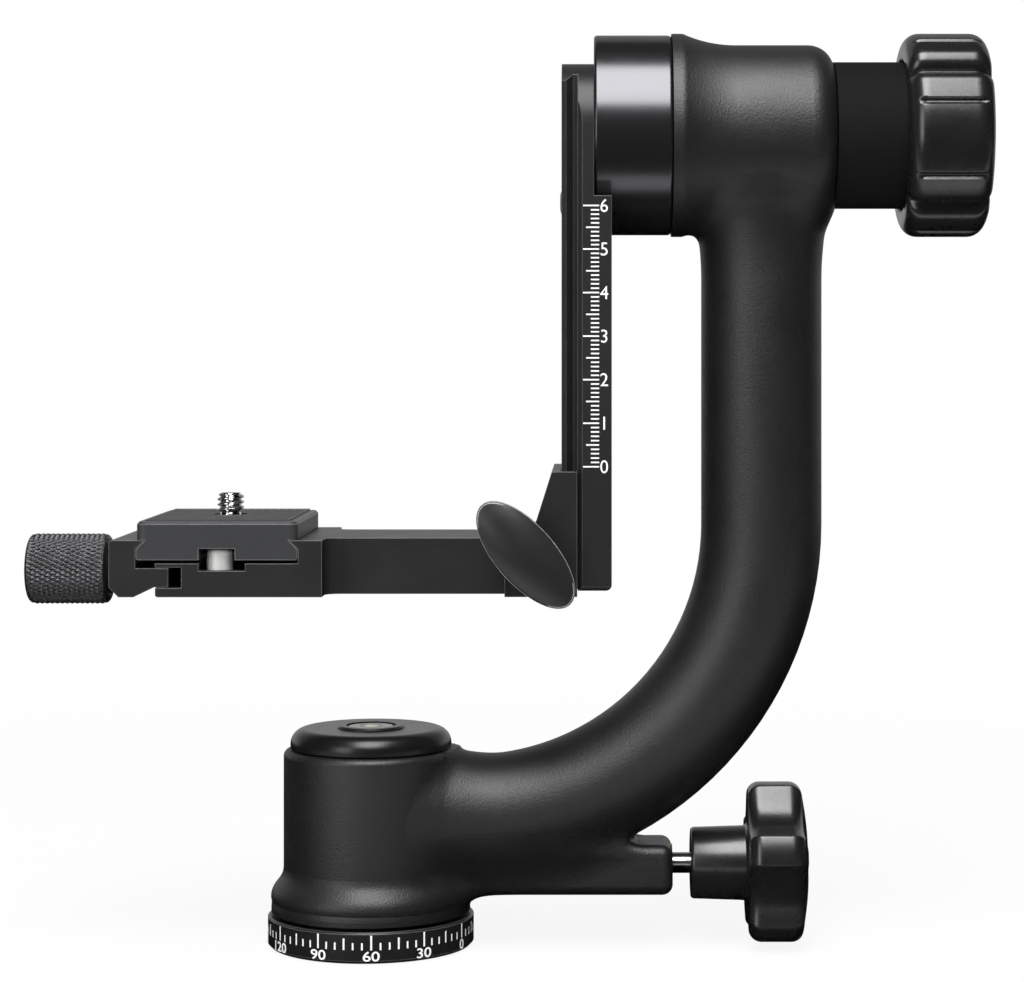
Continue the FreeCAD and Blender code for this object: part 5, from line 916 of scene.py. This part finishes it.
# %% Distances of the casting
TUBE_LEVEL, TUBE_REACH, TUBE_BEND, TUBE_RADIUS = 30.2, 92.85, 69.4, 14.3
TUBE_START, TUBE_END = 12.0, 176.0
HOUSING_RADIUS, HOUSING_TOP, FLARE_RADIUS, FLARE_LOW, FLARE_HIGH = 20.7, 46.2, 23.6, 10.2, 17.0
BOSS_LOW, BOSS_HIGH, BOSS_HALF, BOSS_END, BOSS_ROUND = (0.0, -9.0, 12.5), (71.6, 9.0, 24.3), 9.0, 71.6, 2.5
HUB_LEFT, HUB_RIGHT, HUB_RADIUS, RIM_RADIUS, RIM_END, RIM_DRAWN_IN = 71.4, 109.8, 21.4, 24.1, 74.0, 79.7
HUB_ROUND, BEAD_RADIUS, BEAD_HEIGHT, HOUSING_FOOT = 6.0, 3.2, 11.6, 8.05
ROOT_A, ROOT_B, ROOT_START, ROOT_END = (9.0, 18.6), (25.5, 13.9), 9.0, 40.0
NECK_LOW, NECK_HIGH, NECK_START, NECK_END, NECK_SIDE = (167.0, 13.9), (180.6, 17.7), 160.0, 186.0, 109.4
DRAWN_IN_END, FAR_INSIDE, BEAD_SOFTNESS, CONE_SOFTNESS = 90.0, -50.0, 4.0, 3.0


def tube_distance(x, y, z):
    """Distance from the tube's path, a level run, a quarter circle and an upright run, minus its radius."""
    corner_x, corner_z = TUBE_REACH - TUBE_BEND, TUBE_LEVEL + TUBE_BEND
    level_run = np.hypot(z - TUBE_LEVEL, np.maximum(TUBE_START - x, 0.0))
    upright_run = np.hypot(x - TUBE_REACH, np.maximum(z - TUBE_END, 0.0))
    off_path = np.where(x < corner_x, level_run,
                        np.where(z > corner_z, upright_run, np.hypot(x - corner_x, z - corner_z) - TUBE_BEND))
    return np.hypot(off_path, y) - TUBE_RADIUS


def cone_distance(along, across, first, second):
    """Distance from a cone round its axis: across minus the radius there, times the slant's cosine."""
    slope = (second[1] - first[1]) / (second[0] - first[0])
    return (across - first[1] - slope * (along - first[0])) / math.hypot(1.0, slope)


def rounded_distance(outside_a, outside_b, outside_c, rounding):
    """Distance from a body with rounded edges, from how far a point lies past each of its sides."""
    sides = np.stack([outside_a + rounding, outside_b + rounding, outside_c + rounding])
    past = np.sqrt((np.maximum(sides, 0.0) ** 2).sum(axis=0))
    return (past + np.minimum(sides.max(axis=0), 0.0)) - rounding


def ramp(value, start, end):
    """0 up to the start, 1 from the end on, and even between them; it may also run downwards."""
    return np.clip((value - start) / (end - start), 0.0, 1.0)


def casting_distance(points, soft):
    """The casting's distance with hollows of `soft` times their full softness."""
    x, y, z = points.T
    housing_axis, hub_axis = np.hypot(x, y), np.hypot(y, z - TILT[2])
    root = cone_distance(x, np.hypot(y, z - TUBE_LEVEL), ROOT_A, ROOT_B)
    root = np.maximum(np.maximum(root, z - HOUSING_TOP), np.maximum(ROOT_START - x, x - ROOT_END))
    neck = cone_distance(z, np.hypot(x - TUBE_REACH, y), NECK_LOW, NECK_HIGH)
    neck = np.maximum(np.maximum(neck, z - NECK_END), np.maximum(x - NECK_SIDE, NECK_START - z))
    flare = cone_distance(z, housing_axis, (FLARE_LOW, FLARE_RADIUS), (FLARE_HIGH, HOUSING_RADIUS))
    flare = np.maximum(housing_axis - FLARE_RADIUS, flare)
    housing = np.minimum(housing_axis - HOUSING_RADIUS, flare)
    if soft:
        bead = np.hypot(housing_axis - FLARE_RADIUS + BEAD_RADIUS, z - BEAD_HEIGHT) - BEAD_RADIUS
        housing = np.minimum(soft_lower(housing_axis - HOUSING_RADIUS, bead, BEAD_SOFTNESS * soft), flare)
    housing = np.maximum(np.maximum(housing, z - HOUSING_TOP), HOUSING_FOOT - z)
    boss = rounded_distance(np.maximum(x - BOSS_END, -x), np.abs(y) - BOSS_HALF,
                            np.maximum(z - BOSS_HIGH[2], BOSS_LOW[2] - z), BOSS_ROUND)
    drawn_in = np.maximum(hub_axis - RIM_RADIUS, cone_distance(x, hub_axis, (RIM_END, RIM_RADIUS),
                                                               (RIM_DRAWN_IN, HUB_RADIUS)))
    drawn_in = np.maximum(drawn_in, x - DRAWN_IN_END)
    barrel = rounded_distance(x - HUB_RIGHT, hub_axis - HUB_RADIUS, FAR_INSIDE + 0.0 * x, HUB_ROUND)
    hub = np.maximum(soft_lower(barrel, drawn_in, CONE_SOFTNESS * soft), HUB_LEFT - x)
    tube = soft_lower(tube_distance(x, y, z), root, CONE_SOFTNESS * soft)
    tube = soft_lower(tube, neck, CONE_SOFTNESS * soft)
    # How wide each hollow is: less under the cap, none at the housing's middle, most beside the
    # boss and little over and under its end, and none on the upper half of the hub.
    beside_housing = (2.5 + 1.5 * ramp(z, 43.0, 35.0)) * ramp(x, 9.0, 17.0)
    beside_boss = 4.0 + 3.0 * ramp(np.abs(y), 2.0, 9.0)
    beside_boss *= 1.0 - np.minimum(ramp(x, 58.0, 70.0), 0.7) * ramp(np.abs(y), 9.0, 5.0)
    beside_hub = 4.0 * ramp(z, 185.0, 176.0)
    whole = soft_lower(tube, housing, beside_housing * soft)
    whole = soft_lower(whole, boss, beside_boss * soft)
    return soft_lower(whole, hub, beside_hub * soft)


on_skin = np.array([[TUBE_REACH, -TUBE_RADIUS, 130.0]])
print("distance on the tube's side", round(float(casting_distance(on_skin, 1.0)[0]), 3))

# %% [markdown]
# ## Soft hollows of the casting
#
# The soft casting is met with a grid of points, and each cell of the grid that its skin passes
# through gets one vertex, at the middle of where the skin crosses the cell's edges. Every grid
# edge that crosses the skin makes a quad of its four cells. Three steps along the steepest
# change then put the vertices on the skin itself. Where the hollow stands more than four
# thousandths of a millimetre off the plain bodies the faces are kept, and elsewhere the packed
# casting itself shows. Nothing is kept on the underside, where the spindle's bore is open and the
# casting is flat. An inner wall closes the thin shells.

# %% Net over the soft skin
STEP, LEAST_LIFT, SHELL = 0.7, 0.004, 0.8
GRID_LOW, GRID_HIGH = (-25.0, -25.2, 6.0), (112.0, 25.2, 217.0)


def crossings(field, cells):
    """Middle of the skin's crossings with a cell's edges: corner plus a / (a - b) along the edge."""
    total, count = np.zeros(cells.shape), np.zeros(len(cells))
    for axis in range(3):
        along = np.eye(3, dtype=int)[axis]
        for first in (0, 1):
            for second in (0, 1):
                corner = cells + np.insert((first, second), axis, 0)
                start, end = field[tuple(corner.T)], field[tuple((corner + along).T)]
                crosses = (start < 0.0) != (end < 0.0)
                share = np.where(crosses, start / np.where(crosses, start - end, 1.0), 0.0)
                total += crosses[:, None] * (corner + share[:, None] * along)
                count += crosses
    return total / count[:, None]


def skin_net(field):
    """Vertices in grid steps, one for each cell with corners on both sides, and the quads between them."""
    inside = field < 0.0
    lengths = np.array(field.shape) - 1
    corners = sum(inside[a:a + lengths[0], b:b + lengths[1], c:c + lengths[2]].astype(int)
                  for a in (0, 1) for b in (0, 1) for c in (0, 1))
    mixed = (corners > 0) & (corners < 8)
    number = np.cumsum(mixed).reshape(mixed.shape) - 1
    quads = []
    for axis in range(3):
        order = (axis, (axis + 1) % 3, (axis + 2) % 3)
        side, numbers = inside.transpose(order), number.transpose(order)
        i, j, k = np.nonzero(side[1:, 1:-1, 1:-1] != side[:-1, 1:-1, 1:-1])
        quads.append(np.stack([numbers[i, j, k], numbers[i, j + 1, k], numbers[i, j + 1, k + 1],
                               numbers[i, j, k + 1]], axis=-1))
    return crossings(field, np.argwhere(mixed)), np.concatenate(quads)


def steepest(points):
    """The slope of the soft distance, from its change over a twentieth of a millimetre each way."""
    steps = 0.05 * np.eye(3)
    return np.stack([(casting_distance(points + step, 1.0) - casting_distance(points - step, 1.0)) / 0.1
                     for step in steps], axis=-1)


places = [np.arange(low, high, STEP) for low, high in zip(GRID_LOW, GRID_HIGH)]
slices = []
for x in places[0]:
    grid = np.stack(np.broadcast_arrays(x, places[1][:, None], places[2][None, :]), axis=-1)
    slices.append(casting_distance(grid.reshape(-1, 3), 1.0).reshape(grid.shape[:2]))
field = np.stack(slices)
walked, quads = skin_net(field)
walked = np.array(GRID_LOW) + STEP * walked
for _ in range(3):
    slope = steepest(walked)
    length = np.maximum((slope ** 2).sum(axis=1), 0.2)
    walked = walked - slope * (casting_distance(walked, 1.0) / length)[:, None]
walked[:, 2] = np.minimum(walked[:, 2], TILT[2] + RIM_RADIUS)
lift = casting_distance(walked, 0.0)
lift[walked[:, 2] < HOUSING_FOOT + 0.01] = 0.0
kept = quads[(lift[quads] > LEAST_LIFT).all(axis=1)]
used, kept = np.unique(kept, return_inverse=True)
kept, walked = kept.reshape(-1, 4), walked[used]
outward = steepest(walked)
outward /= np.linalg.norm(outward, axis=1)[:, None]
print("vertices", len(lift), "kept faces", len(kept), "highest lift", round(float(lift.max()), 2), "mm")

# %% Close the shells
sides = np.concatenate([kept[:, [0, 1]], kept[:, [1, 2]], kept[:, [2, 3]], kept[:, [3, 0]]])
labels = np.sort(sides, axis=1) @ np.array([len(walked), 1])
order, first, count = np.unique(labels, return_index=True, return_counts=True)
border = sides[first[count == 1]]
inner = len(walked)
rim = np.stack([border[:, 1], border[:, 0], border[:, 0] + inner, border[:, 1] + inner], axis=-1)
make_piece("casting_blends", np.concatenate([walked, walked - SHELL * outward]),
           np.concatenate([kept, kept[:, ::-1] + inner, rim]), powder_coat, "arm", "powder_coat", crease=50.0)

# %% [markdown]
# ## Studio
#
# The photograph has a pure white ground and soft light from above the front. Black pieces show
# only what they mirror, so the light is shaped as a product photographer shapes it: one large
# soft lamp above the front makes the broad bands on the drum and the knobs, and a smaller one to
# the left models the upright cylinders. Cards that only mirrors see stand all round: black ones
# keep the pieces black, and the grey ones at the back give the rims their soft grey. Two black
# cards on the floor leave a strip of white in front, which lights the undersides. The ground is
# white by its own colour, not by more light.

# %% Floor and world
def plane(name, corner, first, second):
    """A flat sheet: corner plus every mix of its two side vectors, in mm."""
    steps = np.array([(0, 0), (1, 0), (1, 1), (0, 1)], float)
    points = (np.array(corner, float) + steps @ np.array([first, second], float)) * MM
    mesh = bpy.data.meshes.new(name)
    mesh.from_pydata(points.tolist(), [], [(0, 1, 2, 3)])
    sheet = add_object(name, mesh)
    return sheet


def white_for_lens(tree, other):
    """Strength of the white ground: 1 where the lens, a mirror or glass looks, else `other`."""
    path = node(tree, "ShaderNodeLightPath").outputs
    seen = math_node(tree, "MAXIMUM", path["Is Camera Ray"], path["Is Glossy Ray"])
    seen = math_node(tree, "MAXIMUM", seen, path["Is Transmission Ray"])
    return math_node(tree, "MAXIMUM", seen, other)


world = bpy.data.worlds.new("studio")
world.use_nodes = True
bpy.context.scene.world = world
ground = world.node_tree.nodes["Background"]
ground.inputs["Color"].default_value = (1.0, 1.0, 1.0, 1.0)
world.node_tree.links.new(white_for_lens(world.node_tree, 0.28), ground.inputs["Strength"])

paper = bpy.data.materials.new("floor_paper")
paper.use_nodes = True
tree = paper.node_tree
shader = tree.nodes["Principled BSDF"]
shader.inputs["Base Color"].default_value = (0.9, 0.9, 0.9, 1.0)
shader.inputs["Roughness"].default_value = 0.9
shader.inputs["Specular IOR Level"].default_value = 0.1
glow = node(tree, "ShaderNodeEmission", {"Strength": 1.0})
path = node(tree, "ShaderNodeLightPath").outputs
place = node(tree, "ShaderNodeTexCoord").outputs["Object"]
distance = node(tree, "ShaderNodeVectorMath", {0: place}, operation="LENGTH").outputs["Value"]
share = node(tree, "ShaderNodeMapRange", {"Value": distance, "From Min": 0.1, "From Max": 0.6, "To Min": 0.9,
                                          "To Max": 1.0}).outputs["Result"]
glowing = math_node(tree, "MULTIPLY", path["Is Camera Ray"], share)
lifted = node(tree, "ShaderNodeMixShader", {0: glowing, 1: shader.outputs[0], 2: glow.outputs[0]})
below = node(tree, "ShaderNodeNewGeometry").outputs["Backfacing"]
clear = node(tree, "ShaderNodeBsdfTransparent")
one_sided = node(tree, "ShaderNodeMixShader", {0: below, 1: lifted.outputs[0], 2: clear.outputs[0]})
tree.links.new(one_sided.outputs[0], tree.nodes["Material Output"].inputs["Surface"])
floor = plane("floor", (-3000, -3000, -0.2), (6000, 0, 0), (0, 6000, 0))
floor.data.materials.append(paper)
print("floor and world ready")

# %% Lamps and cards
def soft_lamp(name, place, target, width, height, power):
    """A rectangular lamp at a place, turned to a target, both in mm, with its power in watts."""
    data = bpy.data.lights.new(name, "AREA")
    data.shape = "RECTANGLE"
    data.size, data.size_y = width * MM, height * MM
    data.energy = power
    lamp = add_object(name, data)
    start, end = np.array(place, float), np.array(target, float)
    lamp.location = start * MM
    lamp.rotation_euler = Vector(end - start).to_track_quat("-Z", "Y").to_euler()
    return lamp


soft_lamp("front_top_lamp", (20, -480, 890), (50, 0, 120), 500, 790, 11.2)
soft_lamp("left_front_lamp", (-620, -850, 330), (30, 0, 110), 420, 700, 2.7)


def card_paper(tone):
    """A card's material: it shines plainly at this tone, from 0 for black to 1 for white."""
    material = bpy.data.materials.new(f"card_{tone:g}")
    material.use_nodes = True
    tree = material.node_tree
    tree.nodes.remove(tree.nodes["Principled BSDF"])
    shine = node(tree, "ShaderNodeEmission", {"Color": (1.0, 1.0, 1.0, 1.0), "Strength": tone})
    tree.links.new(shine.outputs[0], tree.nodes["Material Output"].inputs["Surface"])
    return material


BLACK, SHADE, GREY = card_paper(0.0), card_paper(0.3), card_paper(0.62)
CARDS = [
    ("front_card", (-2500, -1500, -300), (5000, 0, 0), (0, 0, 2200), BLACK),
    ("top_card", (-2500, -1500, 1900), (5000, 0, 0), (0, 3000, 0), BLACK),
    ("left_card", (-2500, -1500, -300), (0, 3000, 0), (0, 0, 2200), BLACK),
    ("right_card", (2500, -1500, -300), (0, 3000, 0), (0, 0, 2200), BLACK),
    ("back_card", (-2500, 1500, -300), (5000, 0, 0), (0, 0, 1000), GREY),
    ("back_high_card", (-2500, 1500, 700), (5000, 0, 0), (0, 0, 1200), SHADE),
    ("low_near_card", (-1500, -85, -0.1), (3000, 0, 0), (0, 1585, 0), BLACK),
    ("low_front_card", (-1500, -1500, -0.1), (3000, 0, 0), (0, 1335, 0), BLACK),
]
for name, corner, first, second, paper_tone in CARDS:
    card = plane(name, corner, first, second)
    card.data.materials.append(paper_tone)
    for sight in ("camera", "diffuse", "transmission", "shadow", "volume_scatter"):
        setattr(card, "visible_" + sight, False)
print("lamps", len(bpy.data.lights), "cards", len(CARDS))
